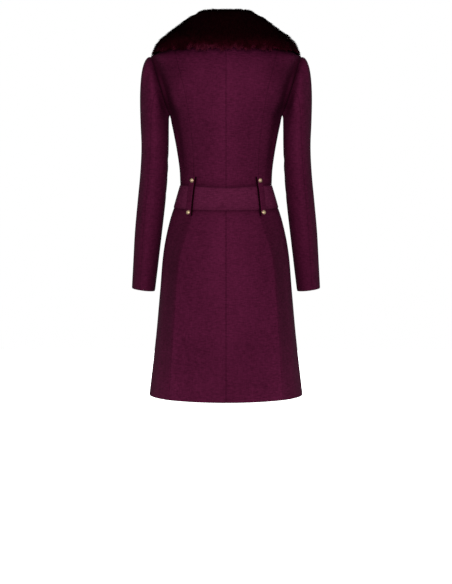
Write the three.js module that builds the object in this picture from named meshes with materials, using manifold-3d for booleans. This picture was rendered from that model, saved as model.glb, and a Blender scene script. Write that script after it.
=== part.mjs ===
// A long waisted coat with a fur shawl collar, filled out as worn, in millimetres with +Z up.
// The front faces -Y and the wearer's left is +X. Z is 0 where the shoulder seams meet the neck.
import * as THREE from "three";
import Module from "manifold-3d";

const wasm = await Module();
wasm.setup();

// Driving sizes
const clothWall = 2;
const seamGap = 0.3;
const bandTop = -389;
const bandBottom = -452;
const hemLevel = -950;
const underarmLevel = -205;
const shoulderPoint = { x: 196, z: -49 };
const underarm = { x: 148.4, z: underarmLevel };
const neckCorner = { x: 72, z: 0 };
const napeRise = 12;
const princessTop = { x: 134, z: -24.5 };
const lapTop = -317;
const frontBend = 0.3;
const frontCurve = 0.8;
const overlapHalf = 30;
const overlapLift = 3;
const overlapNear = 26;
const overlapFar = 55;
const loopWidth = 13;
const loopWall = 2;
const loopBow = 2.6;
const loopRound = 0.8;
const studRadius = 5.4;
const studHeight = 4.2;
const studSeat = 0.4;
const buttonRadius = 11;
const buttonHeight = 6.5;
const creaseWidth = 0.16;

// Torso rings: half width, depth behind and in front of the side seam, and squareness
const bodiceRings = [
  { z: 14, width: 70, back: 49, front: 44, square: 2.1 },
  { z: 0, width: 72, back: 56, front: 56, square: 2.1 },
  { z: -20, width: 122.6, back: 74, front: 71, square: 2.15 },
  { z: -49, width: 196, back: 89, front: 82, square: 2.25 },
  { z: -80, width: 201, back: 100, front: 94, square: 2.3 },
  { z: -110, width: 199, back: 106, front: 104, square: 2.3 },
  { z: -140, width: 189, back: 109, front: 112, square: 2.3 },
  { z: -172, width: 171, back: 109, front: 119, square: 2.3 },
  { z: -205, width: 148.8, back: 107, front: 124, square: 2.3 },
  { z: -228, width: 143.6, back: 104.5, front: 125, square: 2.3 },
  { z: -270, width: 135, back: 99, front: 120, square: 2.25 },
  { z: -313, width: 127.6, back: 94, front: 111, square: 2.2 },
  { z: -350, width: 122.8, back: 90, front: 104, square: 2.2 },
  { z: -389, width: 121, back: 88, front: 100, square: 2.2 },
];
const skirtRings = [
  { z: -389, width: 121, back: 88, front: 100, square: 2.2 },
  { z: -420, width: 130, back: 95, front: 104, square: 2.2 },
  { z: -452, width: 138.6, back: 103, front: 109, square: 2.25 },
  { z: -484, width: 149, back: 112, front: 114, square: 2.3 },
  { z: -527, width: 159.4, back: 121, front: 119, square: 2.4 },
  { z: -570, width: 166.6, back: 129, front: 123, square: 2.5 },
  { z: -655, width: 174.8, back: 138, front: 130, square: 2.5 },
  { z: -783, width: 186, back: 146, front: 139, square: 2.3 },
  { z: -869, width: 195.8, back: 150, front: 146, square: 2.12 },
  { z: -950, width: 205.5, back: 153.5, front: 151, square: 2 },
];

// Panel seams beside the centre: distance from the centre line, and how far the cloth stands out there
// as a soft corner
const bodiceSeam = [
  { z: 14, x: 134, corner: 0 },
  { z: -30, x: 134, corner: 0 },
  { z: -60, x: 129, corner: 0 },
  { z: -92, x: 121, corner: 0.3 },
  { z: -155, x: 106, corner: 0.3 },
  { z: -207, x: 97.2, corner: 0.5 },
  { z: -257, x: 90.7, corner: 0.5 },
  { z: -307, x: 86.2, corner: 0.3 },
  { z: -389, x: 87, corner: 0 },
];
const skirtSeam = [
  { z: -389, x: 87, corner: 0 },
  { z: -452, x: 87, corner: 0 },
  { z: -480, x: 93, corner: 1 },
  { z: -523, x: 106, corner: 3 },
  { z: -567, x: 118, corner: 4.5 },
  { z: -610, x: 124, corner: 5.5 },
  { z: -655, x: 127.5, corner: 6 },
  { z: -720, x: 132, corner: 6 },
  { z: -805, x: 138.5, corner: 5 },
  { z: -936, x: 149, corner: 1.8 },
  { z: -950, x: 150, corner: 1.8 },
];

// Sleeve rings below the armhole: outer and inner point of each ring seen from behind, its middle and half
// depth front to back, and how much of the armhole's own shape it keeps
const sleeveRings = [
  { topX: 204.5, topZ: -49.6, innerX: 149, innerZ: -206, middleY: 0, depth: 58, hole: 1 },
  { topX: 212, topZ: -58, innerX: 149.6, innerZ: -207.5, middleY: -1, depth: 59.5, hole: 0.95 },
  { topX: 219, topZ: -78, innerX: 150.2, innerZ: -209, middleY: -1, depth: 61, hole: 0.8 },
  { topX: 223.6, topZ: -102, innerX: 150.6, innerZ: -211, middleY: -1, depth: 62, hole: 0.65 },
  { topX: 226.3, topZ: -134, innerX: 150.9, innerZ: -214, middleY: -2, depth: 62, hole: 0.45 },
  { topX: 227.2, topZ: -172, innerX: 151, innerZ: -220, middleY: -2, depth: 61, hole: 0.3 },
  { topX: 226.2, topZ: -225, innerX: 151.3, innerZ: -246, middleY: -3, depth: 59.5, hole: 0.1 },
  { topX: 224.2, topZ: -290, innerX: 152, innerZ: -295, middleY: -5, depth: 57.5, hole: 0 },
  { topX: 228, topZ: -360, innerX: 154.6, innerZ: -360, middleY: -9, depth: 56, hole: 0 },
  { topX: 235.8, topZ: -435, innerX: 161.4, innerZ: -436, middleY: -17, depth: 54.5, hole: 0 },
  { topX: 243.8, topZ: -515, innerX: 171.2, innerZ: -517, middleY: -27, depth: 51.5, hole: 0 },
  { topX: 249, topZ: -595, innerX: 181.6, innerZ: -599, middleY: -37, depth: 48.5, hole: 0 },
  { topX: 253.6, topZ: -667.5, innerX: 191.6, innerZ: -675.5, middleY: -46, depth: 45.5, hole: 0 },
];

// Where the two sleeve pieces meet, as an angle round the ring from its outer point towards the back
const sleeveSeams = [
  { v: 0, back: 105, front: -120 },
  { v: 0.4, back: 86, front: -118 },
  { v: 0.7, back: 68, front: -115 },
  { v: 1, back: 74, front: -112 },
];

// Rows of a table under the names of its columns
function tableOf(names, rows) {
  const columns = names.split(" ");
  return rows.map((row) => Object.fromEntries(columns.map((column, at) => [column, row[at]])));
}

// Collar sections, from the back of the neck round to the end of the lapel: where it leaves the neck, the
// top of its roll, its outer edge, and how full the fur is near the roll and near the edge
const collarSections = tableOf("neckX neckY neckZ rollX rollY rollZ edgeX edgeY edgeZ upper lower", [
  [0, 50, 6, 0, 68, 76, 0, 112, -38, 10, 9],
  [26, 47, 6, 30, 65, 76, 55, 110, -38, 10, 9],
  [50, 36, 4, 55, 52, 75, 105, 100, -38, 10, 10],
  [66, 20, 0, 70, 34, 72, 152, 78, -39, 8, 12],
  [73, 4, -4, 78, 12, 68, 186, 46, -43, 6, 15.5],
  [74, -10, -5, 79, -10, 62, 198.5, 8, -46, 6, 17],
  [73, -26, -12, 76, -34, 48, 194, -34, -54, 8, 14],
  [69, -44, -30, 70, -62, 20, 178, -76, -82, 9, 10],
  [62, -66, -60, 60, -90, -22, 156, -102, -122, 8, 8],
  [50, -88, -110, 46, -114, -88, 128, -118, -172, 7, 6],
  [34, -108, -170, 30, -134, -160, 94, -132, -226, 6, 5],
  [18, -118, -230, 15, -144, -228, 56, -140, -272, 5, 4],
  [4, -116, -282, 4, -138, -284, 16, -134, -300, 3, 3],
]);
const collarJoin = 4;

// How a collar section is drawn through its three points: where along the fall its two curve handles
// stand, how far they stand out for each unit of fullness, how the neck side turns over the roll, and how
// deep it reaches inside
const collarShape = {
  upperAt: 0.3,
  lowerAt: 0.22,
  fullness: 1.9,
  neckPull: 0.45,
  rollTurn: 12,
  rollDrop: 0.06,
  edgeDepth: 16,
  neckDepth: 14,
  heartLevel: -120,
  heartBelowEdge: 40,
  innerSteps: 4,
  outerSteps: 7,
};

// Belt loop line and its studs
const loopLine = [
  { z: -365, x: 86 },
  { z: -374.6, x: 87 },
  { z: -460.5, x: 96.7 },
  { z: -468, x: 97.6 },
];
const studLevels = { upper: -374.6, lower: -460.5 };
const buttonLevels = [-335, -420.5, -520, -620];

const colours = {
  cloth: 0x55182f,
  band: 0x5a1b37,
  fur: 0x1b0306,
  gold: 0xd9b679,
};

// A smooth curve through the rows of a table, read at one value of the key column
function readTable(rows, key, value) {
  const rising = rows[rows.length - 1][key] > rows[0][key];
  const side = (row) => (rising ? row[key] <= value : row[key] >= value);
  let at = 0;
  while (at < rows.length - 2 && side(rows[at + 1])) {
    at += 1;
  }
  const before = rows[Math.max(at - 1, 0)];
  const from = rows[at];
  const to = rows[at + 1];
  const after = rows[Math.min(at + 2, rows.length - 1)];
  const span = to[key] - from[key];
  const part = THREE.MathUtils.clamp((value - from[key]) / span, 0, 1);
  const result = {};
  const rise = (start, end, column) => (end[column] - start[column]) / (end[key] - start[key]);
  for (const column of Object.keys(from)) {
    const slope = rise(from, to, column);
    const slopeFrom = before === from ? slope : (slope + rise(before, from, column)) / 2;
    const slopeTo = after === to ? slope : (slope + rise(to, after, column)) / 2;
    const part2 = part * part;
    const part3 = part2 * part;
    result[column] =
      (2 * part3 - 3 * part2 + 1) * from[column] +
      (part3 - 2 * part2 + part) * span * slopeFrom +
      (3 * part2 - 2 * part3) * to[column] +
      (part3 - part2) * span * slopeTo;
  }
  return result;
}

function ringAt(z) {
  if (z > shoulderPoint.z && z < neckCorner.z) {
    const ring = readTable(bodiceRings, "z", z);
    const part = (neckCorner.z - z) / (neckCorner.z - shoulderPoint.z);
    ring.width = neckCorner.x + (shoulderPoint.x - neckCorner.x) * part;
    return ring;
  }
  return readTable(z >= bandTop ? bodiceRings : skirtRings, "z", z);
}

function seamAt(z) {
  return readTable(z >= bandTop ? bodiceSeam : skirtSeam, "z", z);
}

// Angle round the ring, 0 at the centre back and half a turn at the centre front, of a point this far from
// the centre
function angleOf(x, z, front) {
  const ring = ringAt(z);
  const across = THREE.MathUtils.clamp(Math.abs(x) / ring.width, 0, 1);
  const along = Math.pow(Math.max(1 - Math.pow(across, ring.square), 0), 1 / ring.square);
  const angle = Math.sign(x || 1) * Math.atan2(across, along);
  return front ? Math.PI * Math.sign(x || 1) - angle : angle;
}

function ringPoint(angle, z) {
  const ring = ringAt(z);
  const sine = Math.sin(angle);
  const cosine = Math.cos(angle);
  const sum = Math.pow(Math.abs(sine), ring.square) + Math.pow(Math.abs(cosine), ring.square);
  const reach = Math.pow(sum, -1 / ring.square);
  const depth = cosine > 0 ? ring.back : ring.front;
  return new THREE.Vector3(ring.width * sine * reach, depth * cosine * reach, z);
}

function torsoNormal(angle, z) {
  const step = 0.02;
  const round = ringPoint(angle + step, z).sub(ringPoint(angle - step, z));
  const down = ringPoint(angle, z - 1).sub(ringPoint(angle, z + 1));
  return round.cross(down).normalize();
}

// A point on the outer face of the torso cloth, moved out along its normal
function torsoPoint(angle, z, lift = 0) {
  const seam = seamAt(z);
  const turn = Math.abs(angle);
  const seamAngle = angleOf(seam.x, z, turn > Math.PI / 2);
  const away = Math.abs(turn - seamAngle) / creaseWidth;
  const out = lift + seam.corner * Math.exp(-away);
  return ringPoint(angle, z).addScaledVector(torsoNormal(angle, z), out);
}

// A closed wall over a patch. place(s, t) gives the outer point and the direction out; even rows space s
// by length
function wallPatch(place, acrossCount, upCount, wall, gaps = {}, even = true) {
  const fine = 24;
  const outer = [];
  const inner = [];
  const tStart = gaps.t0 ?? 0;
  const tEnd = gaps.t1 ?? 0;
  const middleLength = columnLength(place, 0.5, fine);
  for (let row = 0; row <= upCount; row += 1) {
    const t = THREE.MathUtils.lerp(tStart / middleLength, 1 - tEnd / middleLength, row / upCount);
    const lengths = [0];
    let last = place(0, t).point;
    for (let k = 1; k <= fine; k += 1) {
      const next = place(k / fine, t).point;
      lengths.push(lengths[k - 1] + next.distanceTo(last));
      last = next;
    }
    const whole = lengths[fine];
    const outerRow = [];
    const innerRow = [];
    for (let column = 0; column <= acrossCount; column += 1) {
      const start = gaps.s0 ?? 0;
      const end = whole - (gaps.s1 ?? 0);
      const target = THREE.MathUtils.lerp(start, end, column / acrossCount);
      let k = 1;
      while (k < fine && lengths[k] < target) {
        k += 1;
      }
      let s = (k - 1 + (target - lengths[k - 1]) / (lengths[k] - lengths[k - 1])) / fine;
      if (!even) {
        s = THREE.MathUtils.lerp(start / whole, end / whole, column / acrossCount);
      }
      const { point, out } = place(s, t);
      outerRow.push(point);
      innerRow.push(point.clone().addScaledVector(out, -wall));
    }
    outer.push(outerRow);
    inner.push(innerRow);
  }
  return closeWall(outer, inner);
}

function columnLength(place, s, count) {
  let whole = 0;
  let last = place(s, 0).point;
  for (let k = 1; k <= count; k += 1) {
    const next = place(s, k / count).point;
    whole += next.distanceTo(last);
    last = next;
  }
  return whole;
}

function closeWall(outer, inner) {
  const rows = outer.length;
  const columns = outer[0].length;
  const points = [...outer.flat(), ...inner.flat()];
  const shift = rows * columns;
  const faces = [];
  const quad = (a, b, c, d) => faces.push(a, b, c, a, c, d);
  const at = (row, column) => row * columns + column;
  for (let row = 0; row < rows - 1; row += 1) {
    for (let column = 0; column < columns - 1; column += 1) {
      const a = at(row, column);
      const b = at(row, column + 1);
      const c = at(row + 1, column + 1);
      const d = at(row + 1, column);
      quad(a, b, c, d);
      quad(shift + a, shift + d, shift + c, shift + b);
    }
  }
  for (let column = 0; column < columns - 1; column += 1) {
    const a = at(0, column);
    const b = at(0, column + 1);
    quad(a, shift + a, shift + b, b);
    const c = at(rows - 1, column);
    const d = at(rows - 1, column + 1);
    quad(c, d, shift + d, shift + c);
  }
  for (let row = 0; row < rows - 1; row += 1) {
    const a = at(row, 0);
    const b = at(row + 1, 0);
    quad(a, b, shift + b, shift + a);
    const c = at(row, columns - 1);
    const d = at(row + 1, columns - 1);
    quad(c, shift + c, shift + d, d);
  }
  return facingOut(points, faces);
}

function facingOut(points, faces) {
  let volume = 0;
  for (let k = 0; k < faces.length; k += 3) {
    const [a, b, c] = [points[faces[k]], points[faces[k + 1]], points[faces[k + 2]]];
    volume += a.dot(b.clone().cross(c));
  }
  const turned = [];
  for (let k = 0; k < faces.length; k += 3) {
    const [second, third] = volume < 0 ? [faces[k + 2], faces[k + 1]] : [faces[k + 1], faces[k + 2]];
    turned.push(faces[k], second, third);
  }
  const geometry = new THREE.BufferGeometry();
  const numbers = points.flatMap((p) => [p.x, p.y, p.z]);
  geometry.setAttribute("position", new THREE.Float32BufferAttribute(numbers, 3));
  geometry.setIndex(turned);
  return geometry;
}

const half = seamGap / 2;
const edgeGaps = { s0: half, s1: half, t0: half, t1: half };
const armholeGap = 0.24;

// Armhole: the torso cut by a plane that leans out from the underarm to the shoulder point
function armholeX(z) {
  const part = (z - underarm.z) / (shoulderPoint.z - underarm.z);
  return THREE.MathUtils.lerp(underarm.x, shoulderPoint.x, part);
}

function armholeAngle(z, front) {
  return angleOf(Math.min(armholeX(z), ringAt(z).width), z, front);
}

function onTorso(angle, z, mirror, lift = 0) {
  const point = torsoPoint(angle, z, lift);
  const out = torsoNormal(angle, z);
  point.x *= mirror;
  out.x *= mirror;
  return { point, out };
}

// Height of the neck edge and the shoulder seam above a point this far from the centre
function backTop(x) {
  if (x < neckCorner.x) {
    const part = x / neckCorner.x;
    return napeRise * (1 - part * part);
  }
  const part = (x - neckCorner.x) / (shoulderPoint.x - neckCorner.x);
  return THREE.MathUtils.lerp(neckCorner.z, shoulderPoint.z, part);
}

// Level of a row on the seam that runs from the waistband to the shoulder, so that pieces on both sides
// share rows
const underarmShare = 1 / 3;
const bodiceRows = 18;
function seamLevel(t) {
  if (t < underarmShare) {
    return THREE.MathUtils.lerp(bandTop, underarm.z, t / underarmShare);
  }
  const part = (t - underarmShare) / (1 - underarmShare);
  return THREE.MathUtils.lerp(underarm.z, princessTop.z, Math.sin((part * Math.PI) / 2));
}

function bodiceBack(mirror) {
  const place = (s, t) => {
    const top = backTop(s * princessTop.x);
    const share = (seamLevel(t) - bandTop) / (princessTop.z - bandTop);
    const z = THREE.MathUtils.lerp(bandTop, top, share);
    const x = Math.min(s * seamAt(z).x, ringAt(z).width);
    return onTorso(angleOf(Math.max(x, 1e-6), z, false), z, mirror);
  };
  return wallPatch(place, 6, bodiceRows, clothWall, edgeGaps);
}

function bodiceSide(mirror, front) {
  const flip = (angle) => (front ? Math.PI - angle : angle);
  const place = (s, t) => {
    const seamZ = seamLevel(t);
    if (t <= underarmShare) {
      const z = seamZ;
      const from = angleOf(seamAt(z).x, z, front);
      return onTorso(THREE.MathUtils.lerp(from, Math.PI / 2, s), z, mirror);
    }
    const part = (t - underarmShare) / (1 - underarmShare);
    const holeZ = THREE.MathUtils.lerp(underarm.z, shoulderPoint.z, (1 - Math.cos(Math.PI * part)) / 2);
    const seamAngle = angleOf(Math.min(seamAt(seamZ).x, ringAt(seamZ).width), seamZ, false);
    const holeAngle = armholeAngle(holeZ, false);
    const z = THREE.MathUtils.lerp(seamZ, holeZ, s);
    return onTorso(flip(THREE.MathUtils.lerp(seamAngle, holeAngle, s)), z, mirror);
  };
  return wallPatch(place, 5, bodiceRows, clothWall, { ...edgeGaps, s1: armholeGap });
}

// Front edge: level with the overlap up to the first button, then slanting to the neck corner
function frontEdge(t) {
  if (t < frontBend) {
    return { x: -overlapHalf, z: THREE.MathUtils.lerp(bandTop, lapTop, t / frontBend) };
  }
  const part = (t - frontBend) / (1 - frontBend);
  const z = THREE.MathUtils.lerp(lapTop, neckCorner.z, part);
  const x = THREE.MathUtils.lerp(-overlapHalf, neckCorner.x, Math.pow(part, frontCurve));
  return { x, z };
}

function overlapAt(x, mirror) {
  if (mirror > 0) {
    return 0;
  }
  return overlapLift * THREE.MathUtils.smoothstep(-x, -overlapHalf - overlapFar, -overlapHalf - overlapNear);
}

function frontPlace(x, z, mirror) {
  const angle = angleOf(Math.abs(x) < 1e-6 ? 1e-6 : x, z, true);
  return onTorso(angle, z, mirror, overlapAt(x, mirror));
}

function bodiceFront(mirror) {
  const place = (s, t) => {
    const edge = frontEdge(t);
    const seamZ = seamLevel(t);
    const seamX = Math.min(seamAt(seamZ).x, ringAt(seamZ).width);
    const z = THREE.MathUtils.lerp(edge.z, seamZ, s);
    const x = Math.min(THREE.MathUtils.lerp(edge.x, seamX, s), ringAt(z).width);
    return frontPlace(x, z, mirror);
  };
  return wallPatch(place, 7, bodiceRows, clothWall, edgeGaps);
}

function levelPatch(fromAngle, toAngle, top, bottom, mirror, acrossCount, upCount) {
  const place = (s, t) => {
    const z = THREE.MathUtils.lerp(bottom, top, t);
    return onTorso(THREE.MathUtils.lerp(fromAngle(z), toAngle(z), s), z, mirror);
  };
  return wallPatch(place, acrossCount, upCount, clothWall, edgeGaps);
}

function frontPatch(toX, top, bottom, mirror, acrossCount, upCount) {
  const place = (s, t) => {
    const z = THREE.MathUtils.lerp(bottom, top, t);
    return frontPlace(THREE.MathUtils.lerp(-overlapHalf, toX(z), s), z, mirror);
  };
  return wallPatch(place, acrossCount, upCount, clothWall, edgeGaps);
}

const quarter = () => Math.PI / 2;
const backSeamAngle = (z) => angleOf(seamAt(z).x, z, false);
const frontSeamAngle = (z) => angleOf(seamAt(z).x, z, true);

function waistbandFront(mirror) {
  const place = (s, t) => {
    const z = THREE.MathUtils.lerp(bandBottom, bandTop, t);
    const edge = angleOf(overlapHalf, z, true);
    const over = 2 * Math.PI - edge;
    const angle = THREE.MathUtils.lerp(over, Math.PI / 2, s);
    const turned = angle > Math.PI ? angle - 2 * Math.PI : angle;
    const flat = ringPoint(turned, z).x;
    return onTorso(turned, z, mirror, overlapAt(flat, mirror));
  };
  return wallPatch(place, 14, 2, clothWall, edgeGaps);
}

// Sleeve rings, the first of them the armhole itself
function armholeRing(turn) {
  const middle = (shoulderPoint.z + underarm.z) / 2;
  const reach = (shoulderPoint.z - underarm.z) / 2;
  const z = middle + reach * Math.cos(turn);
  const front = Math.sin(turn) < 0;
  return ringPoint(armholeAngle(z, front), z);
}

const armholeReach = 57;

function lowerRing(ring, turn) {
  const middleX = (ring.topX + ring.innerX) / 2;
  const middleZ = (ring.topZ + ring.innerZ) / 2;
  const cosine = Math.cos(turn);
  const sine = THREE.MathUtils.lerp(Math.sin(turn), armholeRing(turn).y / armholeReach, ring.hole);
  return new THREE.Vector3(
    middleX + ((ring.topX - ring.innerX) / 2) * cosine,
    ring.middleY + ring.depth * sine,
    middleZ + ((ring.topZ - ring.innerZ) / 2) * cosine,
  );
}

function sleevePoint(turn, v) {
  const count = sleeveRings.length;
  const place = THREE.MathUtils.clamp(v, 0, 1) * count;
  const at = Math.min(Math.floor(place), count - 1);
  const part = place - at;
  const ringOf = (k) => (k <= 0 ? armholeRing(turn) : lowerRing(sleeveRings[Math.min(k, count) - 1], turn));
  const from = ringOf(at);
  const to = ringOf(at + 1);
  const before = at > 0 ? ringOf(at - 1) : from.clone().multiplyScalar(2).sub(to);
  const after = at + 2 <= count ? ringOf(at + 2) : to.clone().multiplyScalar(2).sub(from);
  const part2 = part * part;
  const part3 = part2 * part;
  const startSlope = to.clone().sub(before).multiplyScalar(0.5);
  const endSlope = after.clone().sub(from).multiplyScalar(0.5);
  return new THREE.Vector3()
    .addScaledVector(from, 2 * part3 - 3 * part2 + 1)
    .addScaledVector(startSlope, part3 - 2 * part2 + part)
    .addScaledVector(to, 3 * part2 - 2 * part3)
    .addScaledVector(endSlope, part3 - part2);
}

function sleeveNormal(turn, v) {
  const step = 0.03;
  const lower = Math.min(v + 0.01, 1);
  const upper = Math.max(v - 0.01, 0.0);
  const round = sleevePoint(turn + step, v).sub(sleevePoint(turn - step, v));
  const down = sleevePoint(turn, lower).sub(sleevePoint(turn, upper));
  return down.cross(round).normalize();
}

function sleevePiece(mirror, top) {
  const radians = THREE.MathUtils.degToRad;
  const place = (s, v) => {
    const seams = readTable(sleeveSeams, "v", v);
    const start = top ? seams.front : seams.back;
    const end = top ? seams.back : seams.front + 360;
    const turn = radians(THREE.MathUtils.lerp(start, end, s));
    const point = sleevePoint(turn, v);
    const out = sleeveNormal(turn, v);
    point.x *= mirror;
    out.x *= mirror;
    return { point, out };
  };
  const gaps = { ...edgeGaps, t0: armholeGap };
  return wallPatch(place, top ? 15 : 9, sleeveRings.length, clothWall, gaps, false);
}

// Solid blocks of the torso and sleeve tops, a little larger than the cloth, that trim the underside of
// the fur
function manifoldOf(geometry) {
  return new wasm.Manifold(
    new wasm.Mesh({
      numProp: 3,
      vertProperties: new Float32Array(geometry.getAttribute("position").array),
      triVerts: new Uint32Array(geometry.getIndex().array),
    }),
  );
}

function cappedLoops(loops) {
  const points = loops.flat();
  const count = loops[0].length;
  const faces = [];
  for (let row = 0; row < loops.length - 1; row += 1) {
    for (let k = 0; k < count; k += 1) {
      const next = (k + 1) % count;
      const a = row * count + k;
      const b = row * count + next;
      faces.push(a, b, b + count, a, b + count, a + count);
    }
  }
  for (const row of [0, loops.length - 1]) {
    const centre = new THREE.Vector3();
    loops[row].forEach((p) => centre.addScaledVector(p, 1 / count));
    const at = points.push(centre) - 1;
    for (let k = 0; k < count; k += 1) {
      const next = (k + 1) % count;
      const a = row * count + k;
      const b = row * count + next;
      faces.push(...(row === 0 ? [a, at, b] : [a, b, at]));
    }
  }
  return facingOut(points, faces);
}

const blockLevels = [
  14, 7, 0, -6, -12, -18, -24, -30, -36, -42, -49, -58, -68, -80, -95, -110, -130, -150, -172, -190,
];
const blockBottom = -345;
const blockStep = 20;
const blockSides = 72;

function torsoBlock(lift) {
  const loops = [];
  const liftAt = (angle, z) => {
    const x = ringPoint(angle, z).x;
    const near = Math.abs(angle) > Math.PI / 2 && x < overlapHalf + 1;
    return lift + (near ? overlapAt(-x, -1) : 0);
  };
  const levels = [...blockLevels];
  for (let z = underarmLevel; z >= blockBottom; z -= blockStep) {
    levels.push(z);
  }
  for (const z of levels) {
    const loop = [];
    for (let k = 0; k < blockSides; k += 1) {
      const angle = -Math.PI + (k / blockSides) * 2 * Math.PI;
      loop.push(ringPoint(angle, z).addScaledVector(torsoNormal(angle, z), liftAt(angle, z)));
    }
    loops.push(loop);
  }
  return manifoldOf(cappedLoops(loops));
}

const sleeveBlockRings = [0, 0.035, 0.07, 0.105, 0.14, 0.18, 0.22, 0.27, 0.33];
const sleeveBlockSides = 48;

function sleeveBlock(mirror, lift) {
  const loops = [];
  for (const v of sleeveBlockRings) {
    const loop = [];
    for (let k = 0; k < sleeveBlockSides; k += 1) {
      const turn = (k / sleeveBlockSides) * 2 * Math.PI;
      const point = sleevePoint(turn, v).addScaledVector(sleeveNormal(turn, v), lift);
      point.x *= mirror;
      loop.push(point);
    }
    loops.push(loop);
  }
  return manifoldOf(cappedLoops(loops));
}

// One closed section of the collar: up the neck side, over the roll, down the outer face and back inside
// the body
function collarLoop(section) {
  const neck = new THREE.Vector3(section.neckX, section.neckY, section.neckZ);
  const roll = new THREE.Vector3(section.rollX, section.rollY, section.rollZ);
  const edge = new THREE.Vector3(section.edgeX, section.edgeY, section.edgeZ);
  const shape = collarShape;
  const heart = new THREE.Vector3(0, 0, Math.min(shape.heartLevel, section.edgeZ - shape.heartBelowEdge));
  const fall = edge.clone().sub(roll);
  const rise = roll.clone().sub(neck);
  const plane = fall.clone().cross(rise).normalize();
  const out = plane.clone().cross(fall).normalize();
  if (out.dot(roll.clone().sub(heart)) < 0) {
    out.negate();
  }
  const upper = roll.clone().addScaledVector(fall, shape.upperAt);
  upper.addScaledVector(out, section.upper * shape.fullness);
  const lower = edge.clone().addScaledVector(fall, -shape.lowerAt);
  lower.addScaledVector(out, section.lower * shape.fullness);
  const outerCurve = new THREE.CubicBezierCurve3(roll, upper, lower, edge);
  const inside = roll.clone().sub(neck).cross(plane).normalize();
  if (inside.dot(fall) > 0) {
    inside.negate();
  }
  const innerCurve = new THREE.CubicBezierCurve3(
    neck,
    neck.clone().addScaledVector(rise, shape.neckPull),
    roll.clone().addScaledVector(inside, shape.rollTurn).addScaledVector(rise, -shape.rollDrop),
    roll,
  );
  const into = (p, by) => p.clone().addScaledVector(heart.clone().sub(p).normalize(), by);
  const inner = innerCurve.getPoints(shape.innerSteps);
  const outer = outerCurve.getPoints(shape.outerSteps).slice(1);
  return [...inner, ...outer, into(edge, shape.edgeDepth), into(neck, shape.neckDepth)];
}

function collarPiece(fromAt, toAt, both, perSection, mirror = 1) {
  const keyed = collarSections.map((section, at) => ({ at, ...section }));
  const loops = [];
  const count = Math.round((toAt - fromAt) * perSection);
  const stations = [];
  for (let k = 0; k <= count; k += 1) {
    stations.push(THREE.MathUtils.lerp(fromAt, toAt, k / count));
  }
  const mirrored = both ? stations.slice(1).reverse().map((at) => -at) : [];
  for (const at of [...mirrored, ...stations]) {
    const loop = collarLoop(readTable(keyed, "at", Math.abs(at)));
    if (at * mirror < 0) {
      loop.forEach((p) => (p.x *= -1));
    }
    loops.push(loop);
  }
  return cappedLoops(loops);
}

const trimLift = seamGap + 0.55;
const blocks = [torsoBlock(trimLift), sleeveBlock(1, trimLift), sleeveBlock(-1, trimLift)];

function trimmed(geometry) {
  let solid = manifoldOf(geometry);
  for (const block of blocks) {
    solid = solid.subtract(block);
  }
  const bodies = solid.decompose().sort((a, b) => b.volume() - a.volume());
  const mesh = bodies[0].simplify(0.02).getMesh();
  const made = new THREE.BufferGeometry();
  const position = new Float32Array(mesh.numVert * 3);
  for (let k = 0; k < mesh.numVert; k += 1) {
    position.set(mesh.vertProperties.subarray(k * mesh.numProp, k * mesh.numProp + 3), k * 3);
  }
  made.setAttribute("position", new THREE.BufferAttribute(position, 3));
  made.setIndex(Array.from(mesh.triVerts));
  return made;
}

// Belt loop: a narrow strip on the line of the side back seams that stands off the waistband between its
// two studs
function loopPlace(s, t, mirror) {
  const z = THREE.MathUtils.lerp(loopLine[loopLine.length - 1].z, loopLine[0].z, t);
  const centre = readTable(loopLine, "z", z).x;
  const x = centre + (s - 0.5) * loopWidth;
  const bow = loopBow * Math.pow(Math.sin(Math.PI * t), loopRound);
  return onTorso(angleOf(x, z, false), z, mirror, seamGap + loopWall + bow);
}

const domeRim = 0.2;
const domeFoot = 0.94;
const domeSteps = 4;

function domeProfile(radius, height) {
  const foot = new THREE.Vector2(radius * domeFoot, 0);
  const points = [new THREE.Vector2(0, 0), foot, new THREE.Vector2(radius, height * domeRim)];
  for (let k = 1; k <= domeSteps; k += 1) {
    const angle = (k / domeSteps) * (Math.PI / 2);
    const across = k === domeSteps ? 0 : radius * Math.cos(angle);
    points.push(new THREE.Vector2(across, height * (domeRim + (1 - domeRim) * Math.sin(angle))));
  }
  return points;
}

// A round dome standing on a point of the cloth, turned to face out
function domeOn(name, at, out, radius, height, material) {
  const mesh = new THREE.Mesh(new THREE.LatheGeometry(domeProfile(radius, height), 18), material);
  mesh.name = name;
  mesh.position.copy(at);
  mesh.quaternion.setFromUnitVectors(new THREE.Vector3(0, 1, 0), out);
  return mesh;
}

const materials = {
  cloth: new THREE.MeshStandardMaterial({ color: colours.cloth, roughness: 0.9, metalness: 0 }),
  band: new THREE.MeshStandardMaterial({ color: colours.band, roughness: 0.9, metalness: 0 }),
  fur: new THREE.MeshStandardMaterial({ color: colours.fur, roughness: 0.95, metalness: 0 }),
  gold: new THREE.MeshStandardMaterial({ color: colours.gold, roughness: 0.25, metalness: 1 }),
};

const coat = new THREE.Group();
coat.name = "long_coat";

function add(name, geometry, material) {
  const mesh = new THREE.Mesh(geometry, material);
  mesh.name = name;
  coat.add(mesh);
}

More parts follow.
